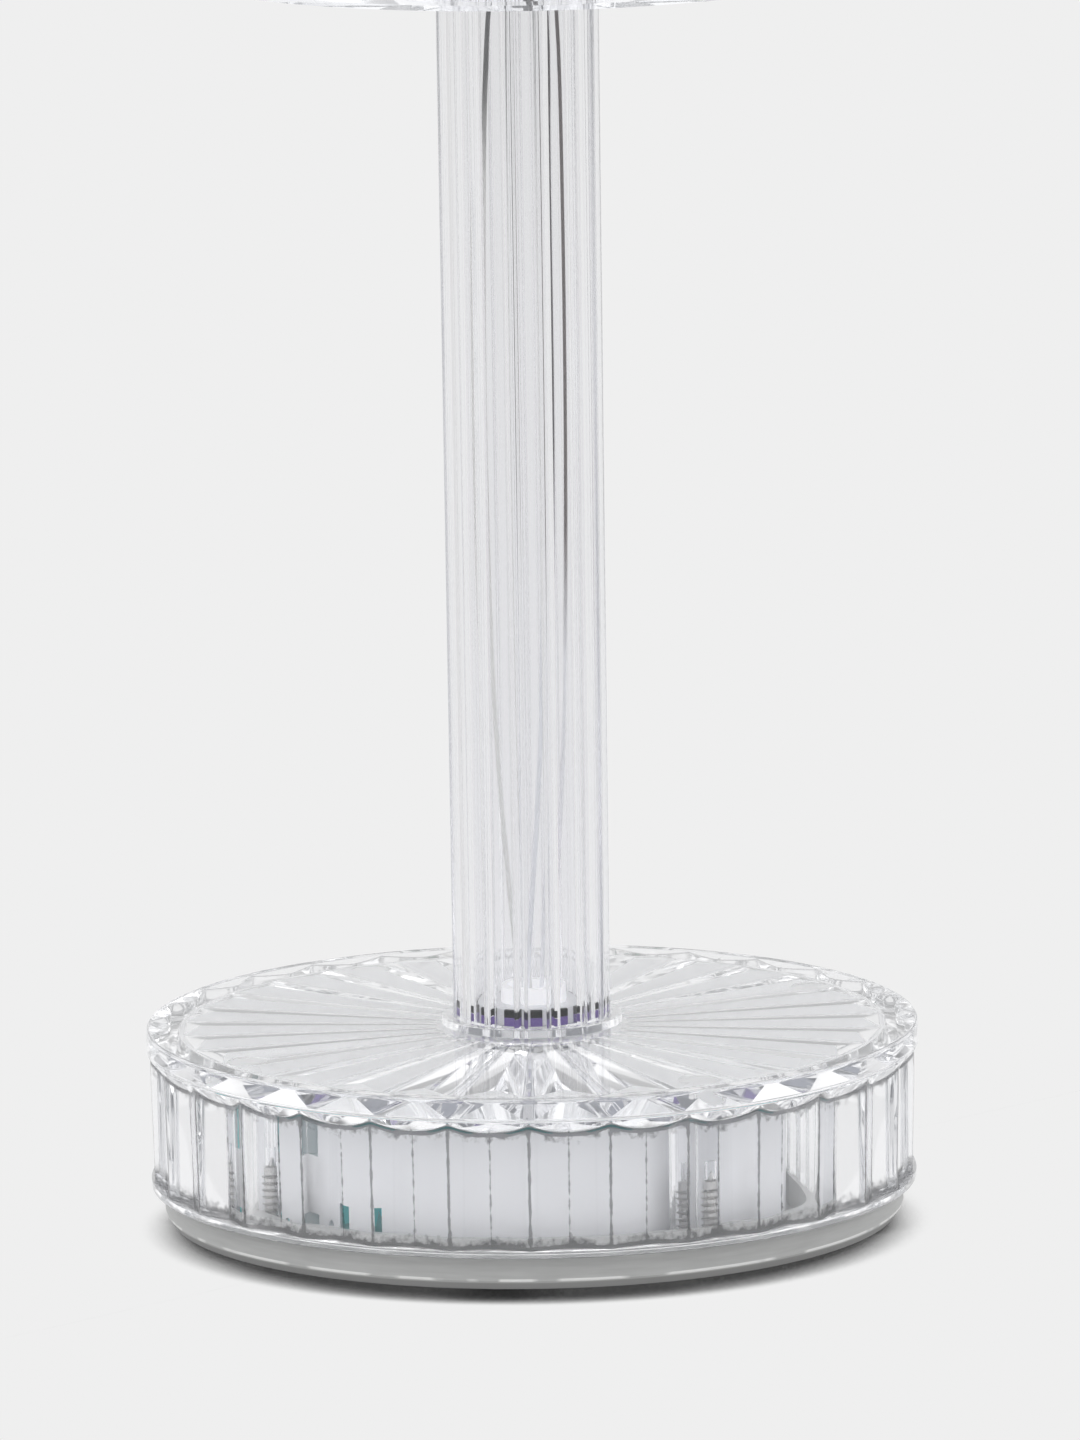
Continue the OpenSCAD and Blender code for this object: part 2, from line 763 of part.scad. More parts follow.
module wire_red()
    color([0.45, 0.14, 0.12])
    swept_tube(smooth(concat(
        column_path(1.5, -1, [[2, 0], [4.8, 0.8], [6, 1], [6, 1], [5.2, 1], [2.4, 0.8]]),
        [[2.8, 0.9, light_top + 0.6], [5, 1.6, light_top + 1.6], [8, 2, light_top + wire_lift]]
    ), 4), wire_r, [0, 1, 0]);

module wire_touch()
    color([0.2, 0.2, 0.21])
    swept_tube(smooth(concat(
        column_path(0, 1.5, [[-1.5, 0.8], [-4.6, -1], [-5.4, -2], [-5, -2], [-3.7, -2], [-2, 0.8]]),
        [
            [-0.6, 1.4, light_top + 2], [1.6, 1.2, dish_z + diffuser_h * 0.35],
            [-1.2, 0, dish_z + diffuser_h * 0.65], [0, 0, diffuser_top - diffuser_t - 1.8]
        ]
    ), 4), wire_r, [0, 1, 0]);

// ----- shade -----

module shade_plate()
    color([0.9, 0.93, 0.95, 0.4])
    difference() {
        union() {
            translate([0, 0, shade_z])
                drum_plate(shade_r, chamfer_w, shade_band_h, floor_t, shade_gap);
            translate([0, 0, shade_z + eps])
                cylinder(r = hub_r, h = hub_h - eps);
            at_reflector_screws()
                translate([0, 0, shade_z + eps])
                    cylinder(r = boss_r, h = hub_h - eps, $fn = 32);
        }
        // socket for the column's top, and hole over it
        translate([0, 0, shade_z - 1])
            cylinder(r = column_top_r + socket_gap, h = top_socket_d + 1);
        translate([0, 0, shade_z])
            cylinder(r = neck_r + fit, h = hub_h + 1);
        at_reflector_screws()
            translate([0, 0, reflector_z - reflector_screw_l])
                cylinder(r = screw_r, h = reflector_screw_l + 1, $fn = 32);
    }

// white dish with a short neck into the shade's hub
module reflector()
    color([0.96, 0.96, 0.96])
    difference() {
        rotate_extrude()
            polygon([
                [0, reflector_z - 1.4], [neck_r, reflector_z - 1.4], [neck_r, reflector_z],
                [reflector_r - 1, reflector_z], [reflector_r, reflector_z + reflector_h],
                [reflector_r - 1, reflector_z + reflector_h], [reflector_r - 2, dish_z], [0, dish_z]
            ]);
        translate([0, 0, reflector_z - 3])
            cylinder(r = neck_r - 1.4, h = 6);
        at_reflector_screws()
            translate([0, 0, reflector_z - 1])
                cylinder(r = screw_r + 0.15, h = 4, $fn = 32);
    }

module reflector_screws()
    color("silver")
    at_reflector_screws()
        translate([0, 0, dish_z + screw_head_h])
            rotate([180, 0, 0])
                self_tapping_screw(screw_r, reflector_screw_l, screw_head_r, screw_head_h);

module light_board()
    color([0.92, 0.92, 0.9])
    translate([0, 0, dish_z])
        washer(light_board_r, neck_r - 1.4, board_t);

module light_diodes()
    color([0.95, 0.85, 0.45])
    for (i = [0:diode_count - 1])
        rotate((i + 0.5) * 360 / diode_count)
            translate([diode_circle_r, 0, light_top]) {
                translate([-1.4, -1.75, 0]) cube([2.8, 3.5, 0.6]);
                cylinder(r1 = 1.1, r2 = 0.6, h = 0.9, $fn = 32);
            }

// frosted cup that stands upside down on the dish
module diffuser()
    color([0.97, 0.97, 0.95, 0.8])
    difference() {
        rotate_extrude()
            polygon([
                [0, dish_z], [diffuser_r, dish_z], [diffuser_r, diffuser_top - 3],
                [diffuser_r - 0.9, diffuser_top - 0.9], [diffuser_r - 3, diffuser_top],
                [0, diffuser_top]
            ]);
        translate([0, 0, dish_z - 1])
            cylinder(r = diffuser_r - diffuser_t, h = diffuser_h - 3 + 1);
        translate([0, 0, diffuser_top - 3 - eps])
            cylinder(
                r1 = diffuser_r - diffuser_t, r2 = diffuser_r - diffuser_t - 2,
                h = 3 - diffuser_t + eps
            );
        translate([0, 0, diffuser_top - diffuser_t - 1])
            cylinder(r = post_r * 0.6 + fit, h = diffuser_t + 2, $fn = 32);
    }

// turned post on the diffuser, with a stud through it and a pin inside the spring
module touch_post()
    color([0.85, 0.7, 0.35])
    rotate_extrude($fn = 48)
        polygon([
            [0, diffuser_top - diffuser_t - 1.6], [post_r * 0.6, diffuser_top - diffuser_t - 1.6],
            [post_r * 0.6, diffuser_top], [post_r + 1.6, diffuser_top],
            [post_r + 1.6, diffuser_top + 1.2], [post_r, diffuser_top + 1.2], [post_r, spring_z],
            [post_r * 0.5, spring_z], [post_r * 0.5, spring_z + spring_h * 0.5],
            [0, spring_z + spring_h * 0.5]
        ]);

module touch_spring()
    color("silver")
    swept_tube([
        for (k = [0:12 * spring_turns])
            let (t = k / (12 * spring_turns))
                [
                    (post_r - spring_wire_r) * cos(30 * k), (post_r - spring_wire_r) * sin(30 * k),
                    spring_z + spring_wire_r + 0.05 + t * (spring_h - 2 * spring_wire_r - 0.05)
                ]
    ], spring_wire_r, [0, 0, 1]);

module shade_shell()
    color([0.9, 0.93, 0.95, 0.4])
    difference() {
        translate([0, 0, shade_shell_z])
            sunburst_drum(shade_r, shade_shell_h, button_r + 1);
        translate([0, 0, shade_ceiling - 1])
            cylinder(r = button_hole_r, h = disc_t + 2);
    }

// domed cap over the shade with a threaded stem through it
module touch_button()
    color([0.85, 0.85, 0.86])
    rotate_extrude()
        polygon(concat(
            [[0, stem_z], [stem_r - 0.4, stem_z], [stem_r, stem_z + 0.4], [stem_r, shade_top + fit]],
            [[button_r, shade_top + fit], [button_r, shade_top + button_h * 0.4]],
            [for (a = [6:6:90])
                [button_r * 0.7, shade_top + button_h * 0.4]
                    + [button_r * 0.3 * cos(a), button_h * 0.6 * sin(a)]],
            [[0, shade_top + button_h]]
        ));

module button_nut()
    color("silver")
    translate([0, 0, shade_ceiling - fit - button_nut_h])
        difference() {
            cylinder(r = button_hole_r + 2.6, h = button_nut_h, $fn = 6);
            translate([0, 0, -1])
                cylinder(r = stem_r + fit, h = button_nut_h + 2);
        }

base_shell();
base_plate();
feet();
base_screws();
inner_drum();
battery_cell();
base_leads();
control_board();
board_components();
charging_board();
charging_socket();
nipple();
violet_washer();
black_nut();
column();
wire_black();
wire_red();
wire_touch();
shade_plate();
reflector();
reflector_screws();
light_board();
light_diodes();
diffuser();
touch_post();
touch_spring();
shade_shell();
touch_button();
button_nut();
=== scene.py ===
# %% [markdown]
# # A cut-acrylic table lamp, dressed for the camera
# The lamp is a fluted drum of clear acrylic for a base, a ribbed clear column and a second,
# taller drum for a shade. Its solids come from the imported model, which gives every size and
# place. What is made here is what the eye reads: finer clear pieces with softened edges,
# the rings in the column's foot, a white film inside the base, and a finish for each material.

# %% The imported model
import math

import bmesh
import bpy
from mathutils import Matrix, Vector


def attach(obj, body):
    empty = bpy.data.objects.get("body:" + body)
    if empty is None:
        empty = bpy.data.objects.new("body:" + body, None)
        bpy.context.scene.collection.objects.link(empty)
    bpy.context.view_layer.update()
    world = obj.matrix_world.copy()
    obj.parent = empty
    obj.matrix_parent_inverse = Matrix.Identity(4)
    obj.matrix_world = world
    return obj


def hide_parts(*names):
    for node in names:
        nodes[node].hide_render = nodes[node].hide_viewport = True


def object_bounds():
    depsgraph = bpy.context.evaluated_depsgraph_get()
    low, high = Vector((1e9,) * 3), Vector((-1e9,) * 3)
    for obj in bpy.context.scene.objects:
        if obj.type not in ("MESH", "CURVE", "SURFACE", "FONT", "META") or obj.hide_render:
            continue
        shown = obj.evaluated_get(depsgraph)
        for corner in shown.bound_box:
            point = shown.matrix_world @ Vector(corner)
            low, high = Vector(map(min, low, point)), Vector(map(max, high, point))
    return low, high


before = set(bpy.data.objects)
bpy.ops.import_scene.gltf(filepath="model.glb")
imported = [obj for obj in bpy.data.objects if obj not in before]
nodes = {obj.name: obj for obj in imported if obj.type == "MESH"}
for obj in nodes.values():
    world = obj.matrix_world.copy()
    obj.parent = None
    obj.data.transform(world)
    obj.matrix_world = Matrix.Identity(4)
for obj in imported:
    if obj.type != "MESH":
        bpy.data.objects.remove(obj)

MM = 0.001
cad_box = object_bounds()
print("nodes:", len(nodes), "box in mm:", [[round(v / MM, 1) for v in c] for c in cad_box])

# %% Heights of the model's parts, in mm


def heights(name):
    """How low and how high a part of the model reaches."""
    levels = [vertex.co.z / MM for vertex in nodes[name].data.vertices]
    return round(min(levels), 2), round(max(levels), 2)


BOSS_Z, COLLAR_TOP = heights("base_shell")
SHADE_BOTTOM, SHADE_TOP = heights("shade_shell")
COLUMN_Z, COLUMN_TOP = heights("column")
FLOOR_OF_BORE = heights("violet_washer")[0]
print("base to", COLLAR_TOP, "column", COLUMN_Z, COLUMN_TOP, "shade", SHADE_BOTTOM, SHADE_TOP)

# %% [markdown]
# ## The camera
# A product picture like this is taken with a long lens from a little above the base, so
# upright lines stay upright. The lens could be chosen by eye, but a place and a direction
# worked out from the size of the round base keep the lamp's proportions true.

# %% Camera
CAMERA_PLACE = Vector((0.0, -2.0, 0.4402))
CAMERA_PITCH, CAMERA_YAW, CAMERA_ROLL = 0.1852, 0.0008, -0.0144
LENS_MM = 394.1
NEAREST, FURTHEST = 0.1, 60


def aim(pitch, yaw, roll):
    """The camera's matrix, from how far it looks down, turns and leans."""
    forward = Vector((
        math.sin(yaw) * math.cos(pitch), math.cos(yaw) * math.cos(pitch), -math.sin(pitch)))
    level = forward.cross(Vector((0, 0, 1))).normalized()
    above = level.cross(forward)
    right = math.cos(roll) * level + math.sin(roll) * above
    up = math.cos(roll) * above - math.sin(roll) * level
    return Matrix((right, up, -forward)).transposed().to_4x4()


eye = bpy.data.objects.new("camera", bpy.data.cameras.new("camera"))
bpy.context.scene.collection.objects.link(eye)
eye.data.lens = LENS_MM
eye.data.clip_start, eye.data.clip_end = NEAREST, FURTHEST
eye.matrix_world = Matrix.Translation(CAMERA_PLACE) @ aim(CAMERA_PITCH, CAMERA_YAW, CAMERA_ROLL)
bpy.context.scene.camera = eye
print("camera", LENS_MM, "mm lens,", round(CAMERA_PLACE.length, 2), "m away")

# %% [markdown]
# ## Node trees as arithmetic
# A finish or a repeated form is a chain of nodes. Wiring each by hand hides the thought in
# it, so a socket is wrapped in a small class here: sums on it add Math nodes, and every
# other node comes from one method. The same class serves materials and Geometry Nodes.

# %% Sockets that can be reckoned with


class Term:
    """A socket of a node tree. Arithmetic on it adds Math nodes."""

    def __init__(self, net, socket):
        self.net, self.socket = net, socket

    def maths(self, operation, *others, flipped=False):
        values = (others[0], self) if flipped else (self, *others)
        return self.net.add(
            "ShaderNodeMath", {"operation": operation}, dict(enumerate(values)))

    def __add__(self, other): return self.maths("ADD", other)
    def __radd__(self, other): return self.maths("ADD", other)
    def __sub__(self, other): return self.maths("SUBTRACT", other)
    def __rsub__(self, other): return self.maths("SUBTRACT", other, flipped=True)
    def __mul__(self, other): return self.maths("MULTIPLY", other)
    def __rmul__(self, other): return self.maths("MULTIPLY", other)
    def __truediv__(self, other): return self.maths("DIVIDE", other)
    def __rtruediv__(self, other): return self.maths("DIVIDE", other, flipped=True)
    def __mod__(self, other): return self.maths("FLOORED_MODULO", other)
    def __rmod__(self, other): return self.maths("FLOORED_MODULO", other, flipped=True)
    def __gt__(self, other): return self.maths("GREATER_THAN", other)
    def __lt__(self, other): return self.maths("LESS_THAN", other)

    def low(self, other): return self.maths("MINIMUM", other)
    def high(self, other): return self.maths("MAXIMUM", other)
    def held(self): return self.high(0.0).low(1.0)
    def rise(self, start, end): return ((self - start) / (end - start)).held()
    def nearest(self): return self.maths("ROUND")
    def sine(self): return self.maths("SINE")
    def cosine(self): return self.maths("COSINE")
    def root(self): return self.maths("SQRT")
    def size(self): return self.maths("ABSOLUTE")
    def whole(self): return self.maths("FLOOR")

    def out(self, name):
        """Another output of the same node."""
        return Term(self.net, self.socket.node.outputs[name])


class Net:
    """A node tree, with one way to add a node: its settings first, then its sockets."""

    def __init__(self, tree):
        self.tree = tree

    def add(self, kind, settings=None, sockets=None, out=0):
        node = self.tree.nodes.new(kind)
        for name, value in (settings or {}).items():
            setattr(node, name, value)
        for key, value in (sockets or {}).items():
            if isinstance(value, Term):
                self.tree.links.new(value.socket, node.inputs[key])
            else:
                node.inputs[key].default_value = value
        return Term(self, node.outputs[out]) if node.outputs else node


# %% [markdown]
# ## Turned pieces
# Most of the lamp is turned: one outline swept once round the axis. Spin or a Screw
# modifier would make a plain drum, but here the outline changes as it goes round, with
# flutes cut in the wall and rays cut under the disc. A grid is made instead, one row of it
# for each point of the outline, and a formula puts every point in its place.

# %% Sizes of the drums: lengths in mm, angles in radians
DRUM_R = round(cad_box[1][0] / MM, 2)
FLUTES = 30
PITCH = math.radians(360 / FLUTES)
FLUTE_DEPTH, FLUTE_STEPS = 1.9, 24
RIM_H, RIM_ROUND, RIM_LIP, RIM_RUN = 3.0, 0.6, 0.2, 1.7
RIM_STEP = FLUTE_DEPTH + RIM_LIP
LIP_H, DRAFT, WALL, DISC = 0.9, 0.3, 2.2, 3.2
CAVITY_R = DRUM_R - RIM_LIP - FLUTE_DEPTH - WALL
RAY_DEPTH, RAY_OUT = 2.0, CAVITY_R - 0.8
RAY_HALF = math.radians(5.1)
PATTERN_TURN = math.radians(5.3)
SOFTENED = math.radians(0.42)
EDGE_WIDTH = math.radians(0.42)
VALLEY_GRIME_AND_SHADE = 0.7
SHARP_BEND = math.radians(32)
SEAM_GAP = 1e-6
print("flutes:", FLUTES, "cavity radius:", round(CAVITY_R, 2))

# %% From a tree to a plain mesh


def tree_inputs(name, sizes):
    """A Geometry Nodes tree with named sizes. Gives its net and a term for each input."""
    tree = bpy.data.node_groups.new(name, "GeometryNodeTree")
    kinds = {int: "NodeSocketInt", float: "NodeSocketFloat"}
    tree.interface.new_socket("Geometry", in_out="INPUT", socket_type="NodeSocketGeometry")
    for label, value in sizes.items():
        kind = kinds.get(type(value), "NodeSocketMaterial")
        tree.interface.new_socket(label, in_out="INPUT", socket_type=kind)
    tree.interface.new_socket("Geometry", in_out="OUTPUT", socket_type="NodeSocketGeometry")
    net = Net(tree)
    start = net.add("NodeGroupInput")
    return net, {label: start.out(label) for label in ("Geometry", *sizes)}


def end_tree(net, geometry, material):
    """Ends a tree as plain geometry in one material."""
    real = net.add("GeometryNodeRealizeInstances", {}, {"Geometry": geometry})
    dressed = net.add("GeometryNodeSetMaterial", {}, {"Geometry": real, "Material": material})
    net.add("NodeGroupOutput", {}, {"Geometry": dressed})


def plain_mesh(maker):
    """The mesh that an object's modifiers make."""
    maker.update_tag()
    seen = maker.evaluated_get(bpy.context.evaluated_depsgraph_get())
    return bpy.data.meshes.new_from_object(seen)


def make_piece(name, mesh, tree, sizes):
    """Runs a tree on a start mesh and keeps the result as a plain mesh object."""
    maker = bpy.data.objects.new(name + "_maker", mesh)
    bpy.context.scene.collection.objects.link(maker)
    modifier = maker.modifiers.new("make", "NODES")
    modifier.node_group = tree
    for item in tree.interface.items_tree:
        if item.in_out == "INPUT" and item.name in sizes:
            modifier[item.identifier] = sizes[item.name]
    made = plain_mesh(maker)
    maker.modifiers.remove(modifier)
    bpy.data.objects.remove(maker)
    made.name = name
    made.materials.clear()
    made.materials.append(sizes["Material"])
    made.polygons.foreach_set("material_index", [0] * len(made.polygons))
    piece = bpy.data.objects.new(name, made)
    bpy.context.scene.collection.objects.link(piece)
    print(name, len(made.polygons), "faces")
    return piece


def point_mesh(name, points, **attributes):
    """A mesh of loose points, with numbers on each."""
    mesh = bpy.data.meshes.new(name)
    mesh.from_pydata(points, [], [])
    for label, values in attributes.items():
        layer = mesh.attributes.new(label, "FLOAT", "POINT")
        layer.data.foreach_set("value", values)
    return mesh


# %% The parts that both trees share


def reader(net, start, index):
    """A way to read a named number off the start mesh, at the point with that index."""
    def reading(label):
        number = net.add(
            "GeometryNodeInputNamedAttribute", {"data_type": "FLOAT"}, {"Name": label})
        return net.add("GeometryNodeSampleIndex", {"data_type": "FLOAT", "domain": "POINT"}, {
            "Geometry": start, "Value": number, "Index": index})
    return reading


def turned_grid(net, start, rows, columns):
    """A grid with a row for each outline point. Gives it, the column that a point is in, and
    a way to read the outline's numbers."""
    grid = net.add("GeometryNodeMeshGrid", {}, {
        "Size X": 1.0, "Size Y": 1.0, "Vertices X": rows, "Vertices Y": columns + 1})
    spot = net.add("ShaderNodeSeparateXYZ", {}, {0: net.add("GeometryNodeInputPosition")})
    row_of_point = ((spot + 0.5) * (rows - 1)).nearest()
    column = ((spot.out("Y") + 0.5) * columns).nearest()
    return grid, column, reader(net, start, row_of_point)


def finish_turned(net, grid, radius, height, angle, grime, material):
    """Moves the grid's points round the axis, closes seam and poles and shades the edges."""
    # the stored mark darkens the acrylic: partly soiling, partly painted shade where edges look
    # dark
    grid = net.add("GeometryNodeStoreNamedAttribute", {"data_type": "FLOAT", "domain": "POINT"}, {
        "Geometry": grid, "Name": "grime", "Value": grime})
    place = net.add("ShaderNodeCombineXYZ", {}, {
        0: radius * angle.cosine(), 1: radius * angle.sine(), 2: height})
    small = net.add("ShaderNodeVectorMath", {"operation": "SCALE"}, {0: place, "Scale": MM})
    moved = net.add("GeometryNodeSetPosition", {}, {"Geometry": grid, "Position": small})
    closed = net.add("GeometryNodeMergeByDistance", {}, {"Geometry": moved, "Distance": SEAM_GAP})
    bend = net.add("GeometryNodeInputMeshEdgeAngle")
    soft = net.add("GeometryNodeSetShadeSmooth", {"domain": "FACE"}, {
        "Geometry": closed, "Shade Smooth": True})
    edged = net.add("GeometryNodeSetShadeSmooth", {"domain": "EDGE"}, {
        "Geometry": soft, "Shade Smooth": bend < SHARP_BEND})
    end_tree(net, edged, material)


# %% The fluted drum's tree


def softening(distance):
    """What a softened edge adds to an angle measured from it."""
    return (distance * distance + SOFTENED ** 2).root() - distance


def fluted_drum_tree():
    """Turns an outline, with flutes in its wall and rays under its disc."""
    net, give = tree_inputs("fluted drum", {
        "Rows": 2, "Steps": FLUTE_STEPS, "Flute depth": FLUTE_DEPTH, "Ray depth": RAY_DEPTH,
        "Ray end": RAY_OUT, "Rim height": 0.0, "Material": None})
    steps = give["Steps"]
    grid, step, reading = turned_grid(net, give["Geometry"], give["Rows"], steps * FLUTES)

    # where a point lies in its flute: 0 at the sharp edge, half a pitch at the deepest line
    flute = (step / steps).whole()
    along = (step % steps) / steps
    eased = 1 - (along * 2 - 1).size()
    eased = eased * eased * (3 - 2 * eased)
    side = 1 - (along > 0.5) * 2
    off = eased * (PITCH / 2)
    rest = PITCH / 2 - off
    angle = PATTERN_TURN + (flute + (1 - side) * 0.5) * PITCH + side * off

    # straight facets from edge to deepest line, softened at both
    soft = off + softening(off) - softening(rest)
    sharp_r = reading("radius")
    deep_r = sharp_r - give["Flute depth"]
    facet = sharp_r * deep_r * math.sin(PITCH / 2) / (
        sharp_r * soft.sine() + deep_r * (PITCH / 2 - soft).sine())

    # rays: grooves whose sides meet the axis, with a sloped outer end
    slope = give["Ray depth"] / (give["Ray end"] - give["Ray depth"])
    inside = (rest.cosine() - rest.sine() / math.tan(RAY_HALF)).high(0.0)
    crest = give["Ray end"] / (slope * inside + rest.cosine())
    foot = give["Ray end"] / rest.cosine()
    radius = sharp_r + reading("crest") * crest + reading("foot") * foot
    fluted = reading("flute")
    radius = radius * (1 - fluted) + facet * fluted
    groove = (slope * radius * inside).low(give["Ray end"] - radius * rest.cosine()).high(0.0)

    # the rim's underside falls towards the edge, so the flutes end in scallops
    inward = (DRUM_R - radius) / RIM_STEP
    under_rim = give["Rim height"] - RIM_RUN * inward * (2 - inward)
    hung = reading("hung")
    height = reading("height") * (1 - hung) + (under_rim + reading("height")) * hung
    height = height + reading("ray") * groove

    # soiling and painted shade darken the edges, the deepest lines and the flutes' two ends
    at_edge = (1 - off / EDGE_WIDTH).high(0.0)
    at_valley = (1 - rest / EDGE_WIDTH).high(0.0)
    grime = (at_edge.high(at_valley * VALLEY_GRIME_AND_SHADE) * fluted).high(reading("grime"))
    finish_turned(net, grid, radius, height, angle, grime, give["Material"])
    return net.tree


drum_tree = fluted_drum_tree()
print("fluted drum:", len(drum_tree.nodes), "nodes")

# %% [markdown]
# ## Ribs and teeth
# The column and the rings in its foot repeat one section round the axis. An Array modifier
# could repeat a modelled rib, but then all its seams would have to be closed. This second
# tree reads two lists from its start mesh: the outline, and one pitch of the section.

# %% A tree for turned pieces that repeat a section


def ring_tree():
    """Turns an outline whose radius follows a second outline, repeated round the axis."""
    net, give = tree_inputs("repeated ring", {
        "Rows": 2, "Steps": 8, "Repeats": 1, "Turn": 0.0, "Material": None})
    steps, repeats = give["Steps"], give["Repeats"]
    grid, step, reading = turned_grid(net, give["Geometry"], give["Rows"], steps * repeats)
    around = reader(net, give["Geometry"], step % steps)
    pitch = math.tau / repeats
    angle = give["Turn"] + (step / steps).whole() * pitch + around("turn") * pitch
    acts = reading("ribbed")
    radius = reading("radius") * (1 + acts * (around("factor") - 1)) - acts * around("drop")
    finish_turned(net, grid, radius, reading("height"), angle, around("edge") * acts,
                  give["Material"])
    return net.tree


turned_tree = ring_tree()
print("repeated ring:", len(turned_tree.nodes), "nodes")

# %% Its use
PLAIN_RING = [(0.0, 1.0, 0.0, 0.0)]


def turned_piece(name, outline, material, ring=None, repeats=64, turn=0.0):
    """A turned piece. Outline points are (radius, height, ribbed) in mm, ring points are
    (share of the pitch, factor, drop, edge)."""
    ring = ring or PLAIN_RING
    count = max(len(outline), len(ring))
    rows = [(*p, 0.0)[:3] for p in reversed(outline)] + [(0.0, 0.0, 0.0)] * (count - len(outline))
    around = ring + PLAIN_RING * (count - len(ring))
    numbers = dict(zip(("radius", "height", "ribbed", "turn", "factor", "drop", "edge"),
                       (*zip(*rows), *zip(*around))))
    start = point_mesh(name, [(0, 0, 0)] * count, **numbers)
    return make_piece(name, start, turned_tree, {
        "Rows": len(outline), "Steps": len(ring), "Repeats": repeats, "Turn": turn,
        "Material": material})


# %% [markdown]
# ## Finishes
# The acrylic is what makes or breaks the picture. It is glass to the renderer, with the index
# of the real plastic, a breath of lilac, and the faint ripple that moulding leaves. The
# opaque pieces could have one flat colour each, but no moulded or painted face is even. They
# share a recipe: a colour that drifts a little, a grain in the roughness and a fine bump.

# %% The steps of every finish
BUMP_DEPTH = 0.1


def bare_net(owner):
    """The node tree of a material or a world, emptied."""
    owner.use_nodes = True
    owner.node_tree.nodes.clear()
    return Net(owner.node_tree)


def new_finish(name):
    """A material, its net, and the place on the object as a term."""
    material = bpy.data.materials.new(name)
    net = bare_net(material)
    return material, net, net.add("ShaderNodeTexCoord").out("Object")


def noise(net, place, scale, detail):
    return net.add("ShaderNodeTexNoise", {}, {"Vector": place, "Scale": scale, "Detail": detail})


def laid(net, place, scale):
    """The place, stretched or squeezed along the axes."""
    return net.add("ShaderNodeMapping", {}, {"Vector": place, "Scale": scale})


def between(net, share, first, second):
    """A colour between two others, each of them a term or three numbers."""
    first, second = (c if isinstance(c, Term) else (*c, 1.0) for c in (first, second))
    return net.add("ShaderNodeMix", {"data_type": "RGBA"}, {0: share, 6: first, 7: second}, out=2)


def height_mm(net, place):
    return net.add("ShaderNodeSeparateXYZ", {}, {0: place}).out("Z") / MM


def relief(net, strength, height, depth=BUMP_DEPTH):
    """A normal bent by a height, whose full depth is in mm."""
    return net.add("ShaderNodeBump", {}, {
        "Strength": strength, "Distance": depth * MM, "Height": height})


def painted(material, net, sockets):
    """Ends a material in one Principled shader."""
    shader = net.add("ShaderNodeBsdfPrincipled", {}, sockets)
    net.add("ShaderNodeOutputMaterial", {}, {"Surface": shader})
    return material


# %% Opaque finishes from one recipe
GRAIN, FINE_BUMP = 400.0, 0.05
FACING_DOWN = -0.5
BLACK = (0.0, 0.0, 0.0)


def finish(name, colour, roughness=0.4, metallic=0.0, drift=0.12, stretch=(1, 1, 1),
           coat=0.0, glow=0.0, glow_only_under=False):
    """An opaque finish. A glow is painted light on a part that is no lamp. It may be kept
    to the faces that look down, to lighten them where they lie in shade.
    """
    material, net, place = new_finish(name)
    place = laid(net, place, stretch)
    broad = noise(net, place, GRAIN / 8, 3.0)
    fine = noise(net, place, GRAIN, 4.0)
    dark = [c * (1 - drift) for c in colour]
    pale = [min(1.0, c * (1 + drift)) for c in colour]
    toned = between(net, broad, dark, pale)
    glow_colour = toned
    # painted glow only on the faces that look down, which lie in shade
    if glow_only_under:
        facing = net.add("ShaderNodeNewGeometry", out=1)
        down = net.add("ShaderNodeSeparateXYZ", {}, {0: facing}).out("Z") < FACING_DOWN
        glow_colour = between(net, down, BLACK, toned)
    return painted(material, net, {
        "Base Color": toned, "Roughness": roughness * (0.8 + 0.4 * fine),
        "Metallic": metallic, "Normal": relief(net, FINE_BUMP, fine),
        "Coat Weight": coat, "Emission Color": glow_colour, "Emission Strength": glow})


# %% [markdown]
# ## Clear plastic
# Drums and column are acrylic. Alpha could make them see-through, but only Transmission
# bends the light, and that bending is what draws the flutes and the rays. Noise adds haze in
# patches, and a very shallow bump is the ripple. Where soiling and painted shade darken the
# edges is written on the points by the trees, so it stays on the edges at any size.

# %% Clear plastics
# a faint painted glow in the clear plastics, which lightens what would lie dark inside them
ACRYLIC_GLOW, ACRYLIC_GLOW_COLOUR = 0.016, (0.9, 0.93, 1.0, 1.0)
GRIME_AND_SHADE_COLOUR, GREYED = (0.1, 0.1, 0.105), (0.88, 0.88, 0.885)
SMEARS, SPECKS = 90.0, 900.0
DULL_BELOW, DULL_ABOVE, GREYING = (36, 44), (112, 87), (50, 160)
DRAWN_ROUGH = 0.02


def clear_plastic(name, tint, ior, haze, ripple, ripple_size, grime=0.0, drawn=0.0):
    """Clear plastic: glass with haze in patches, the ripple of moulding, a faint painted glow,
    and edges darkened by soiling and painted shade.
    Drawn tube is dulled along its middle by the die, and greyer towards its top."""
    material, net, place = new_finish(name)
    wave = noise(net, place, 1 / (ripple_size * MM), 2.0)
    smears = noise(net, place, SMEARS, 5.0)
    specks = noise(net, place, SPECKS, 3.0)
    edges = net.add("ShaderNodeAttribute", {"attribute_name": "grime"}).out("Fac")
    # darkened edges, made ragged by specks: partly soiling, partly painted shade
    dirt_and_shade = (edges * 1.15 + specks).rise(1.0, 1.25) * grime
    rough = (smears - 0.45).high(0.0) * haze + dirt_and_shade * 0.25
    toned = tint
    if drawn:
        height = height_mm(net, place)
        dulled = height.rise(*DULL_BELOW) * height.rise(*DULL_ABOVE)
        rough = rough + DRAWN_ROUGH + dulled * drawn
        toned = between(net, height.rise(*GREYING), toned, GREYED)
    return painted(material, net, {
        "Base Color": between(net, dirt_and_shade, toned, GRIME_AND_SHADE_COLOUR), "Roughness": rough,
        "IOR": ior, "Transmission Weight": 1.0, "Normal": relief(net, 1.0, wave, ripple),
        "Emission Color": ACRYLIC_GLOW_COLOUR, "Emission Strength": ACRYLIC_GLOW})


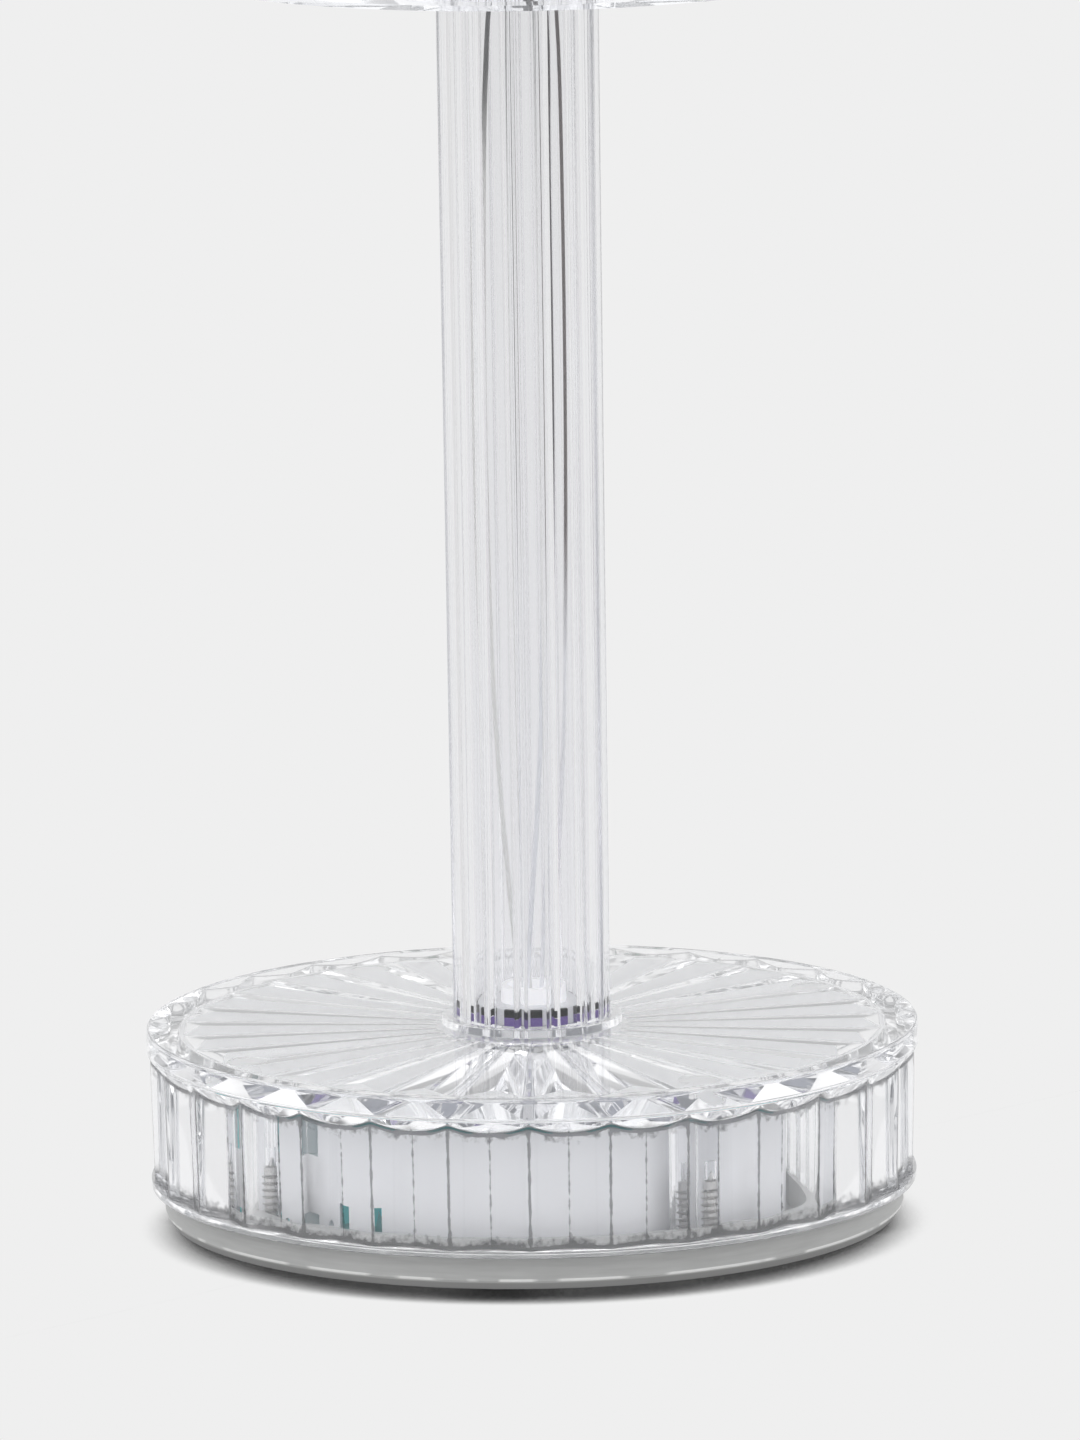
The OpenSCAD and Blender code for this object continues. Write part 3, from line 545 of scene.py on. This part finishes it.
acrylic = clear_plastic("acrylic", (0.98, 0.982, 0.99), 1.49, 0.12, 0.0012, 4.0, grime=0.9)
acrylic_column = clear_plastic(
    "acrylic_column", (0.91, 0.91, 0.922), 1.49, 0.12, 0.0002, 6.0, grime=0.1, drawn=0.07)
silicone = clear_plastic("silicone_clear", (0.86, 0.87, 0.87), 1.41, 1.2, 0.01, 1.0)
print("clear plastics:", acrylic.name, acrylic_column.name, silicone.name)

# %% [markdown]
# ## The base plate
# The plate is satin grey, with a painted highlight along its chamfer and painted shade
# below it. The chamfer could be given a second material, but the highlight has no sharp
# border. So the finish goes by the height of each point, and noise breaks up the bright line.

# %% The base plate's satin finish
CHAMFER_TOP = 2.1
SATIN_DARK, SATIN_PALE = (0.45, 0.455, 0.45), (0.62, 0.625, 0.62)
# colours of the painted shade under the chamfer and of the painted highlight on it
PAINTED_UNDER_SHADE, PAINTED_HIGHLIGHT = (0.22, 0.22, 0.22), (0.95, 0.95, 0.94)
STREAKS, STREAK_RUN, HIGHLIGHT_BREAK_SCALE = 160.0, (1, 1, 12), 150.0


def plate_finish():
    """Satin grey, streaked round the plate, with a painted highlight along the chamfer,
    broken in places, and painted shade under it.
    """
    material, net, place = new_finish("plate_satin")
    streaks = noise(net, laid(net, place, STREAK_RUN), STREAKS, 4.0)
    highlight_breaks = noise(net, place, HIGHLIGHT_BREAK_SCALE, 2.0).rise(0.42, 0.503)

    # heights in mm from the chamfer's upper edge
    height = height_mm(net, place) - CHAMFER_TOP
    # a faint painted sheen over the chamfer, a painted highlight line at its edge, and painted
    # shade below
    chamfer_sheen = height.rise(0.15, -0.1)
    highlight_line = (height - 0.04).size().rise(0.244, 0.133)
    under = height.rise(-0.2, -0.4)

    toned = between(net, streaks, SATIN_DARK, SATIN_PALE)
    toned = between(net, under * 0.8, toned, PAINTED_UNDER_SHADE)
    toned = between(net, (chamfer_sheen * 0.15 + highlight_line * highlight_breaks).low(1.0), toned, PAINTED_HIGHLIGHT)
    return painted(material, net, {
        "Base Color": toned, "Roughness": 0.3 + 0.25 * streaks,
        "Normal": relief(net, 0.15, streaks), "Coat Weight": 0.15})


# %% [markdown]
# ## The wires' sleeves
# Three wires run up inside the column, dark near the lamp head and nearly white further
# down. An image could be painted for them, but the rule is simple: one colour above,
# one below, and noise drawn out along the wire where they meet.

# %% The wires' sleeves
RIDGES, RIDGE_RUN = 900.0, (1, 1, 0.06)


def sleeve(name, upper, lower, fade_from, fade_to):
    """A soft sleeve, dark where it leaves the lamp head and paler lower down."""
    material, net, place = new_finish(name)
    lengthwise_noise = noise(net, laid(net, place, RIDGE_RUN), RIDGES, 3.0)
    faded = (fade_from - height_mm(net, place)) / (fade_from - fade_to)
    pale = (faded + (lengthwise_noise - 0.5) * 0.7).held()
    return painted(material, net, {
        "Base Color": between(net, pale, upper, lower), "Roughness": 0.35 + 0.2 * lengthwise_noise,
        "Normal": relief(net, 0.1, lengthwise_noise)})


# %% The finishes, one for each slot of the model
finishes = {
    "clear_acrylic": acrylic,
    "silicone": silicone,
    "frosted_plate": plate_finish(),
    "screw_steel": finish("screw_steel_bright", (0.62, 0.61, 0.6), 0.28, metallic=1.0),
    "white_plastic": finish("plastic_white", (0.91, 0.915, 0.94), 0.2, drift=0.02),
    # the wrap's glow is painted light, which lightens it inside the dark base
    "cell_wrap": finish("wrap_teal_glowing", (0.1, 0.72, 0.75), 0.3, coat=0.3, glow=0.15),
    "lead_sleeve": finish("sleeve_leads", (0.2, 0.03, 0.03), 0.4),
    "board_green": finish("board_mask_green", (0.02, 0.16, 0.08), 0.35, coat=0.4),
    "component_black": finish("moulded_black", (0.012, 0.012, 0.014), 0.4),
    "socket_steel": finish(
        "socket_bright", (0.7, 0.69, 0.67), 0.25, metallic=1.0, stretch=(1, 0.1, 1)),
    "violet_plastic": finish("plastic_violet", (0.2, 0.13, 0.42), 0.4, drift=0.1),
    "black_sleeve": sleeve("sleeve_black", (0.1, 0.095, 0.095), (0.93, 0.94, 0.98), 102, 82),
    "red_sleeve": sleeve("sleeve_red", (0.14, 0.11, 0.11), (0.95, 0.95, 0.98), 92, 74),
    "grey_sleeve": sleeve("sleeve_grey", (0.15, 0.15, 0.15), (0.9, 0.9, 0.88), 150, 136),
    "light_board_white": finish("board_mask_white", (0.82, 0.82, 0.8), 0.35, drift=0.03),
    "diode_phosphor": finish("phosphor", (0.8, 0.62, 0.16), 0.5),
    "frosted_diffuser": finish("diffuser_frosted", (0.88, 0.88, 0.87), 0.5, drift=0.02),
    "turned_brass": finish(
        "brass_turned", (0.75, 0.55, 0.25), 0.25, metallic=1.0, stretch=(1, 1, 8)),
    "spring_wire": finish("wire_bright", (0.66, 0.66, 0.66), 0.22, metallic=1.0),
    "button_metal": finish("button_satin", (0.72, 0.72, 0.73), 0.24, metallic=1.0),
    "nut_steel": finish("nut_bright", (0.6, 0.6, 0.6), 0.3, metallic=1.0),
}
for node in nodes.values():
    for slot in node.material_slots:
        slot.material = finishes[slot.material.name]
# the glows of the nipple and of the reflector's underside are painted light, which lightens them
# where they lie in shade
nodes["nipple"].material_slots[0].material = finish(
    "nipple_tinned_glowing", (0.93, 0.93, 0.94), 0.5, drift=0.02, glow=0.25)
nodes["reflector"].material_slots[0].material = finish(
    "reflector_white_glowing_under", (0.9, 0.9, 0.9), 0.35, drift=0.02, glow=0.55, glow_only_under=True)
print("finishes:", len(finishes))

# %% [markdown]
# ## The clear drums
# Base and shade are the same drum at two heights: a flat disc with a rounded rim, a wall of
# thirty V flutes, and thirty rays cut up into the disc from below. The flutes could be cut
# from a plain drum, but thirty cuts leave edges that are hard to soften. Here one outline
# starts at the hole in the disc, runs out over the top, down the wall and back under the
# disc. On each point it is noted whether flutes, the cone under the rim, or rays act on it.

# %% Outlines
ROW_KEYS = ("radius", "height", "flute", "hung", "crest", "foot", "ray", "grime")


def row(radius, height, **marks):
    """One point of an outline, in mm, with what acts on it."""
    return {**dict.fromkeys(ROW_KEYS, 0.0), "radius": radius, "height": height, **marks}


def rounded(corners, ease=0.15, steps=3):
    """An outline through corners (radius, height), each one eased by a small arc. A third
    number in a corner is its own ease."""
    made = [row(*corners[0])]
    for before, here, after in zip(corners, corners[1:], corners[2:]):
        a, b, c = (Vector(p[:2]) for p in (before, here, after))
        own = here[2] if len(here) > 2 else ease
        near = min(own, (a - b).length / 2, (c - b).length / 2)
        start = b + (a - b).normalized() * near
        end = b + (c - b).normalized() * near
        for i in range(steps + 1):
            t = i / steps
            point = start * (1 - t) ** 2 + b * 2 * t * (1 - t) + end * t ** 2
            made.append(row(point.x, point.y))
    return made + [row(*corners[-1][:2])]


# %% The drum's outline, piece by piece
# the third number of each point is how much soiling and painted shade darken it
UNDER_RIM = [(0.25, 0.0, 0.0), (0.08, 0.0, 0.8), (0.0, -0.06, 1.1), (-0.02, -0.32, 1.1),
             (-0.02, -0.6, 0.55), (-0.02, -1.3, 0.42), (-0.03, -2.6, 0.0)]
ABOVE_LIP = [(0.0, 3.0, 0.0), (0.0, 1.5, 0.42), (0.0, 0.6, 0.6), (0.0, 0.2, 1.0),
             (0.03, 0.04, 1.0)]
RIM_EASE, CONE_START, WALL_BREAK = 0.08, 0.12, 3.2
LIP_OUT, LIP_GRIME_AND_SHADE = 0.1, 0.9
RAY_SHARES = (0, 0.06, 0.2, 0.4, 0.6, 0.8, 1)


def rim_rows(hole_edge, top):
    """The top face from the hole, and the rim down to where the cone under it starts."""
    rim_z = top - RIM_H
    return rounded([hole_edge, (DRUM_R, top, RIM_ROUND), (DRUM_R, rim_z, RIM_EASE),
                    (DRUM_R - CONE_START, rim_z - CONE_START * RIM_RUN / RIM_STEP)], steps=6)


def wall_rows(bottom, top, foot_share):
    """The fluted wall. Its marks are (further out, further up, soiling and painted shade),
    from the cone under the rim and then from the lip. The foot share is how much of that
    darkening its foot gets."""
    sharp_r = DRUM_R - RIM_LIP
    foot_r = sharp_r - DRAFT
    rows = [row(sharp_r + out, up, flute=1, hung=1, grime=grime) for out, up, grime in UNDER_RIM]
    rows.append(row(sharp_r - 0.06, top - RIM_H - RIM_RUN - WALL_BREAK, flute=1))
    return rows + [row(foot_r + out, bottom + LIP_H + up, flute=1, grime=grime * foot_share)
                   for out, up, grime in ABOVE_LIP]


def lip_and_cavity_rows(bottom, top, foot_share):
    """The lip under the wall, the cavity's wall and the edge of its ceiling."""
    lip_r = DRUM_R - RIM_LIP - DRAFT + LIP_OUT
    rows = rounded([(lip_r - 0.04, bottom + LIP_H), (lip_r, bottom + LIP_H, 0.03),
                    (lip_r, bottom), (CAVITY_R, bottom),
                    (CAVITY_R, top - DISC, 0.4), (CAVITY_R - 0.5, top - DISC)])
    # the wall's bottom face is darkened, partly soiling and partly painted shade, and shows
    # through the wall as a dark line at the seam
    for point in rows:
        if point["height"] < bottom + LIP_OUT and point["radius"] > CAVITY_R + 1:
            point["grime"] = LIP_GRIME_AND_SHADE * foot_share
    return rows


def ray_rows(ceiling, ray_start):
    """The rayed ceiling, from the rays' outer ends to where they start."""
    rows = [row(0, ceiling, foot=1, ray=1), row(0, ceiling, foot=0.5, crest=0.5, ray=1)]
    return rows + [row(ray_start * share, ceiling, crest=1 - share, ray=1)
                   for share in RAY_SHARES]


def drum_outline(bottom, top, hole, ray_start, foot_share):
    """The drum's rows from the inner end of its top face round to its hole again."""
    ceiling = top - DISC
    return (rim_rows(hole[-1], top) + wall_rows(bottom, top, foot_share)
            + lip_and_cavity_rows(bottom, top, foot_share) + ray_rows(ceiling, ray_start)
            + rounded([(ray_start - 0.02, ceiling)] + hole))


# %% Base and shade
COLLAR_R, COLLAR_H = 11.7, 1.0
BASE_BOTTOM, BASE_TOP = 5.3, COLLAR_TOP - COLLAR_H
SOCKET_R, NIPPLE_HOLE_R, BUTTON_HOLE_R, BUTTON_R = 10.25, 4.25, 7.0, 9.5
base_hole = [(NIPPLE_HOLE_R, BASE_TOP - DISC), (NIPPLE_HOLE_R, COLUMN_Z), (SOCKET_R, COLUMN_Z),
             (SOCKET_R, COLLAR_TOP), (COLLAR_R, COLLAR_TOP), (COLLAR_R, BASE_TOP)]
shade_hole = [(BUTTON_HOLE_R, SHADE_TOP - DISC), (BUTTON_HOLE_R, SHADE_TOP)]


def make_drum(name, bottom, top, hole, ray_start, foot_share):
    """A drum. The foot share is how much of the soiling and painted shade its foot gets."""
    rows = drum_outline(bottom, top, hole, ray_start, foot_share)
    points = [(r["radius"] * MM, 0, r["height"] * MM) for r in rows]
    start = point_mesh(name, points, **{key: [r[key] for r in rows] for key in ROW_KEYS})
    return make_piece(name, start, drum_tree, {
        "Rows": len(rows), "Steps": FLUTE_STEPS, "Flute depth": FLUTE_DEPTH,
        "Ray depth": RAY_DEPTH, "Ray end": RAY_OUT, "Rim height": top - RIM_H,
        "Material": acrylic})


base_drum = make_drum("clear_base", BASE_BOTTOM, BASE_TOP, base_hole, COLLAR_R + 0.8, foot_share=1.0)
shade_drum = make_drum(
    "clear_shade", SHADE_BOTTOM, SHADE_TOP, shade_hole, BUTTON_R + 1, foot_share=0.3)
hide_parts("base_shell")
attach(base_drum, "lamp")
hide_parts("shade_shell")
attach(shade_drum, "shade")

# %% [markdown]
# ## Bosses and the charging slot
# Four clear bosses stand in the base and take the screws of its plate, and a rounded slot at
# the back lets the charging lead in. They break the drum's rule, so they could be put in
# the tree only with much more of it. A Boolean with a few cylinders is shorter, and it runs
# once, on the plain mesh.

# %% Cylinders to add and to cut
SCREW_CIRCLE, SCREW_TURN, SCREWS = 42.1, -60, 4
BOSS_R, BOSS_TOP, PILOT_R, PILOT_H = 2.6, BASE_TOP - 1, 0.8, 13.5
SLOT_HALF, SLOT_R, SLOT_Z, SLOT_CUT = 2.87, 1.9, 9.5, 6.0
OVERCUT = 1.0


def cylinder(name, place, radius, length, along_y=False, sides=48):
    """A closed cylinder from place, in mm, upwards or along Y."""
    shape = bmesh.new()
    bmesh.ops.create_cone(shape, cap_ends=True, segments=sides, radius1=radius * MM,
                          radius2=radius * MM, depth=length * MM)
    bmesh.ops.translate(shape, verts=shape.verts, vec=(0, 0, length * MM / 2))
    if along_y:
        turn = Matrix.Rotation(-math.pi / 2, 3, "X")
        bmesh.ops.rotate(shape, verts=shape.verts, matrix=turn)
    bmesh.ops.translate(shape, verts=shape.verts, vec=Vector(place) * MM)
    mesh = bpy.data.meshes.new(name)
    shape.to_mesh(mesh)
    shape.free()
    mesh.materials.append(acrylic)
    made = bpy.data.objects.new(name, mesh)
    bpy.context.scene.collection.objects.link(made)
    return made


def combine(piece, tools, operation):
    """Adds tools to a piece, or cuts them from it, and keeps a plain mesh."""
    for tool in tools:
        change = piece.modifiers.new("combine", "BOOLEAN")
        change.operation, change.solver, change.object = operation, "MANIFOLD", tool
    made = plain_mesh(piece)
    piece.modifiers.clear()
    piece.data = made
    for tool in tools:
        bpy.data.objects.remove(tool)


# %% The base with bosses and slot
screw_turns = [math.radians(SCREW_TURN + 360 / SCREWS * k) for k in range(SCREWS)]
screw_places = [Vector((math.cos(a), math.sin(a), 0)) * SCREW_CIRCLE for a in screw_turns]
bosses = [cylinder("boss", (p.x, p.y, BOSS_Z), BOSS_R, BOSS_TOP - BOSS_Z) for p in screw_places]
combine(base_drum, bosses, "UNION")
pilots = [cylinder("pilot", (p.x, p.y, BOSS_Z - OVERCUT), PILOT_R, PILOT_H)
          for p in screw_places]
slot_ends = [cylinder("slot_end", (x, CAVITY_R - OVERCUT, SLOT_Z), SLOT_R, SLOT_CUT, along_y=True)
             for x in (-SLOT_HALF, SLOT_HALF)]
combine(base_drum, pilots + slot_ends, "DIFFERENCE")
print("clear_base with bosses:", len(base_drum.data.polygons), "faces")

# %% [markdown]
# ## The column
# The column is a thick clear tube with fifteen flat ribs and a narrow rounded groove between
# two of them. It could be extruded from a drawn section, but its rule is short, so the same
# kind of tree turns it: the section repeats every 24 degrees.

# %% The column's section and outline
RIBS, RIB_SHARE, GROOVE = 15, 7 / 24, 1.1
COLUMN_TURN = math.radians(-86)
COLUMN_FOOT_R, COLUMN_TOP_R, BORE_R = 10.15, 10.5, 7.4
EASE, FOOT_STEP = 0.1, 1.2
FLAT_POINTS = ((-0.283, 1), (-0.265, 0), (0, 0), (0.265, 0), (0.283, 1))
GROOVE_POINTS = ((0.03, 1), (0.12, 0.3), (0.25, 0), (0.38, 0.3), (0.5, 0.7), (0.62, 0.3),
                 (0.75, 0), (0.88, 0.3), (0.97, 1))


def rib_section():
    """One pitch of the column: (share of the pitch, factor, drop, edge). A flat point is
    (share of the pitch, edge), a groove point (share of the groove, edge), where edge is how
    much soiling and painted shade darken it."""
    pitch = math.tau / RIBS
    apothem = math.cos(RIB_SHARE * pitch)
    flat = [(share, apothem / math.cos(share * pitch), 0.0, edge) for share, edge in FLAT_POINTS]
    across = 1 - 2 * RIB_SHARE
    groove = [(RIB_SHARE + across * t, 1.0, GROOVE * math.sin(math.pi * t), edge)
              for t, edge in GROOVE_POINTS]
    return flat + groove


column_rows = [
    (NIPPLE_HOLE_R, COLUMN_Z), (COLUMN_FOOT_R - FOOT_STEP, COLUMN_Z),
    (COLUMN_FOOT_R - EASE, COLUMN_Z, 1), (COLUMN_FOOT_R, COLUMN_Z + EASE, 1),
    (COLUMN_TOP_R, COLUMN_TOP - EASE, 1), (COLUMN_TOP_R - EASE, COLUMN_TOP, 1),
    (BORE_R + EASE, COLUMN_TOP), (BORE_R, COLUMN_TOP - EASE),
    (BORE_R, FLOOR_OF_BORE), (NIPPLE_HOLE_R, FLOOR_OF_BORE), (NIPPLE_HOLE_R, COLUMN_Z)]
clear_column = turned_piece("clear_column", column_rows, acrylic_column, rib_section(), RIBS,
                            COLUMN_TURN)
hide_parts("column")
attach(clear_column, "lamp")

# %% [markdown]
# ## The rings in the column's foot
# A violet washer and a black nut fill the bore at the column's foot. A plain ring would show
# as one dark band, but on the real lamp they are seen as short dashes, one behind each rib.
# So each ring touches the bore only under the ribs, where no air is left between, and stands
# back between them, where a white seat inside the rings shows as a bright gap.

# %% The rings and their seat
RING_IN, RING_R = 5.3, BORE_R + 0.02
RINGS_Z, NUT_Z, NUT_TOP = FLOOR_OF_BORE + 0.02, 27.95, 28.95
TOUCH, STAND_BACK = 0.25, 1.5
SEAT_R, SEAT_RISE, SEAT_SIDES = 6.95, 0.05, 90


def ring_rows(inner, outer, low, high, ease=0.12):
    """The outline of a flat ring with eased upper edges."""
    return [(inner, low), (outer, low, 1), (outer, high - ease, 1), (outer - ease, high, 1),
            (inner + ease, high), (inner, high - ease), (inner, low)]


def pads():
    """A rim that touches the bore under each rib and stands back between the ribs."""
    touching = [(TOUCH * t, 1.0, 0.0, 0.0) for t in (-1, -0.5, 0, 0.5, 1)]
    free = [(TOUCH + (1 - 2 * TOUCH) * t, 1.0, STAND_BACK, 0.0)
            for t in (0.08, 0.35, 0.65, 0.92)]
    return touching + free


violet_ring = turned_piece("violet_ring", ring_rows(RING_IN, RING_R, RINGS_Z, NUT_Z),
                           finishes["violet_plastic"], pads(), RIBS, COLUMN_TURN)
black_ring = turned_piece("black_ring", ring_rows(RING_IN, RING_R, NUT_Z, NUT_TOP),
                          finishes["component_black"], pads(), RIBS, COLUMN_TURN)
seat = turned_piece(
    "white_seat", ring_rows(NIPPLE_HOLE_R, SEAT_R, RINGS_Z, NUT_TOP + SEAT_RISE),
    finishes["white_plastic"], repeats=SEAT_SIDES)
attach(seat, "lamp")
for ring, node, slot in ((violet_ring, "violet_washer", "violet_plastic"),
                         (black_ring, "black_nut", "component_black")):
    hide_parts(node)
    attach(ring, "lamp")

# %% [markdown]
# ## A film over the inside of the base
# Seen through the sunburst, the inside of the base is an even white. The cell and the boards
# could be left out of sight by painting the disc, but that would dull the rays. A thin white
# film lies under the disc instead. It is a flat ring, turned like the others.

# %% The white film
FILM_IN, FILM_OUT, FILM_Z, FILM_TOP, FILM_EASE, FILM_SIDES = 7.1, 45.6, 22.5, 22.75, 0.03, 120
film = turned_piece("white_film", ring_rows(FILM_IN, FILM_OUT, FILM_Z, FILM_TOP, FILM_EASE),
                    finish("film_white", (0.9, 0.905, 0.91), 0.3, drift=0.02),
                    repeats=FILM_SIDES)
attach(film, "lamp")

# %% [markdown]
# ## Floor, backdrop and light
# The lamp stands on a pale table that runs into a pale backdrop without a line. A bent sheet
# and real lamps could make it, but clear plastic shows whatever stands round it, so the world
# is written as a rule instead. Opaque things are lit evenly by it and by two broad lamps far
# away. What is seen through the acrylic or mirrored in it is the backdrop near the horizon,
# and soft light panels with dark gaps between them higher up, which give cut acrylic its
# bright and dark facets.

# %% What each ray sees of the world
WHITE = (1, 1, 1, 1)
BACKDROP, WORLD_LEVEL = 0.863, 0.62
LOW, PANEL, GAP, OVERHEAD = 0.79, 1.12, 0.3, 1.0
PANELS, PANEL_TURN, PANEL_EDGE, PANEL_SHARE = 3, 0.4, 2.5, 0.8
RAISED, ABOVE, STEEP = (0.36, 0.527), (0.7, 0.867), (0.3, 0.633)
INSIDE, INSIDE_ABOVE = 2.1, 1.05

world = bpy.data.worlds.new("studio")
bpy.context.scene.world = world
net = bare_net(world)
rays = net.add("ShaderNodeLightPath")
way = net.add("ShaderNodeSeparateXYZ", {}, {0: net.add("ShaderNodeTexCoord")})
upward = way.out("Z")

# the surroundings: backdrop at the horizon, then the panels, then the light overhead
round_axis = way.out("Y").maths("ARCTAN2", way)
panels = ((round_axis * PANELS + PANEL_TURN).sine() * PANEL_EDGE + PANEL_SHARE).held()
side = GAP + (PANEL - GAP) * panels
above = upward.rise(*ABOVE)
raised = upward.rise(*RAISED)
around = LOW * (1 - raised) + (side * (1 - above) + OVERHEAD * above) * raised

# what lights the white parts through the acrylic is brighter, so that they stay white
through = rays.out("Is Glossy Ray").high(rays.out("Is Transmission Ray"))
inside = (rays.out("Diffuse Depth") > 0.5) * through
within = INSIDE + (INSIDE_ABOVE - INSIDE) * upward.rise(*STEEP)
plain = WORLD_LEVEL + (BACKDROP - WORLD_LEVEL) * rays.out("Is Camera Ray")
level = (plain * (1 - through) + around * through) * (1 - inside) + within * inside
shown = net.add("ShaderNodeBackground", {}, {"Color": WHITE, "Strength": level})
net.add("ShaderNodeOutputWorld", {}, {"Surface": shown})
print("world:", len(world.node_tree.nodes), "nodes, backdrop", BACKDROP)

# %% The lamps: the side they shine from, their strength and their width in degrees
SUNS = [((-0.55, -0.6, 0.75), 0.55, 35), ((0.75, -0.25, 0.6), 0.4, 30)]
for i, (direction, strength, width) in enumerate(SUNS):
    sun = bpy.data.lights.new(f"soft_{i}", "SUN")
    sun.energy = strength
    sun.angle = math.radians(width)
    placed = bpy.data.objects.new(f"soft_{i}", sun)
    bpy.context.scene.collection.objects.link(placed)
    placed.rotation_euler = Vector(direction).to_track_quat("Z", "Y").to_euler()
print("lamps:", len(SUNS))

# %% [markdown]
# ## The table
# It has to be as bright as the backdrop, and only darken close under the lamp. A shadow
# catcher would do that, but not behind clear plastic. Here the camera, and rays through the
# acrylic, see a glowing plane that is dimmed where little of the sky is free. What counts
# is the sky behind the lamp, so the shade falls at its front. The plane is matte for every
# other ray, so it lights the lamp from below as a real table does.

# %% The floor
FLOOR_SIZE = 40
SHADOW_REACH, SHADOW_SAMPLES, DARKEST = 6.2, 12, 0.02
SHADOW_LEAN = (0.0, 0.95, 0.31)
FREE_SKY = (0.46, 0.82)
MATTE = (0.8, 0.8, 0.8, 1)

bpy.ops.mesh.primitive_plane_add(size=FLOOR_SIZE)
floor = bpy.context.active_object
floor.name = "floor"
table = bpy.data.materials.new("table")
net = bare_net(table)
rays = net.add("ShaderNodeLightPath")
seen = rays.out("Is Camera Ray").high(rays.out("Is Glossy Ray"))
seen = seen.high(rays.out("Is Transmission Ray"))
leaning = net.add("ShaderNodeCombineXYZ", {}, dict(enumerate(SHADOW_LEAN)))
free = net.add("ShaderNodeAmbientOcclusion", {"samples": SHADOW_SAMPLES}, {
    "Distance": SHADOW_REACH * MM, "Normal": leaning}, out=1)
lit = free.rise(*FREE_SKY).high(DARKEST)
glow = net.add("ShaderNodeEmission", {}, {"Color": WHITE, "Strength": BACKDROP * lit})
matte = net.add("ShaderNodeBsdfDiffuse", {}, {"Color": MATTE})
mixed = net.add("ShaderNodeMixShader", {}, {0: seen, 1: matte, 2: glow})
net.add("ShaderNodeOutputMaterial", {}, {"Surface": mixed})
floor.data.materials.append(table)
print("floor:", FLOOR_SIZE, "m, shadow reach", SHADOW_REACH, "mm")

# %% The picture's settings: clear plastic needs many bounces
scene = bpy.context.scene
scene.view_settings.view_transform = "Standard"
scene.cycles.max_bounces = 32
scene.cycles.transmission_bounces = 28
scene.cycles.glossy_bounces = 12
scene.cycles.transparent_max_bounces = 16
print("bounces:", scene.cycles.max_bounces)
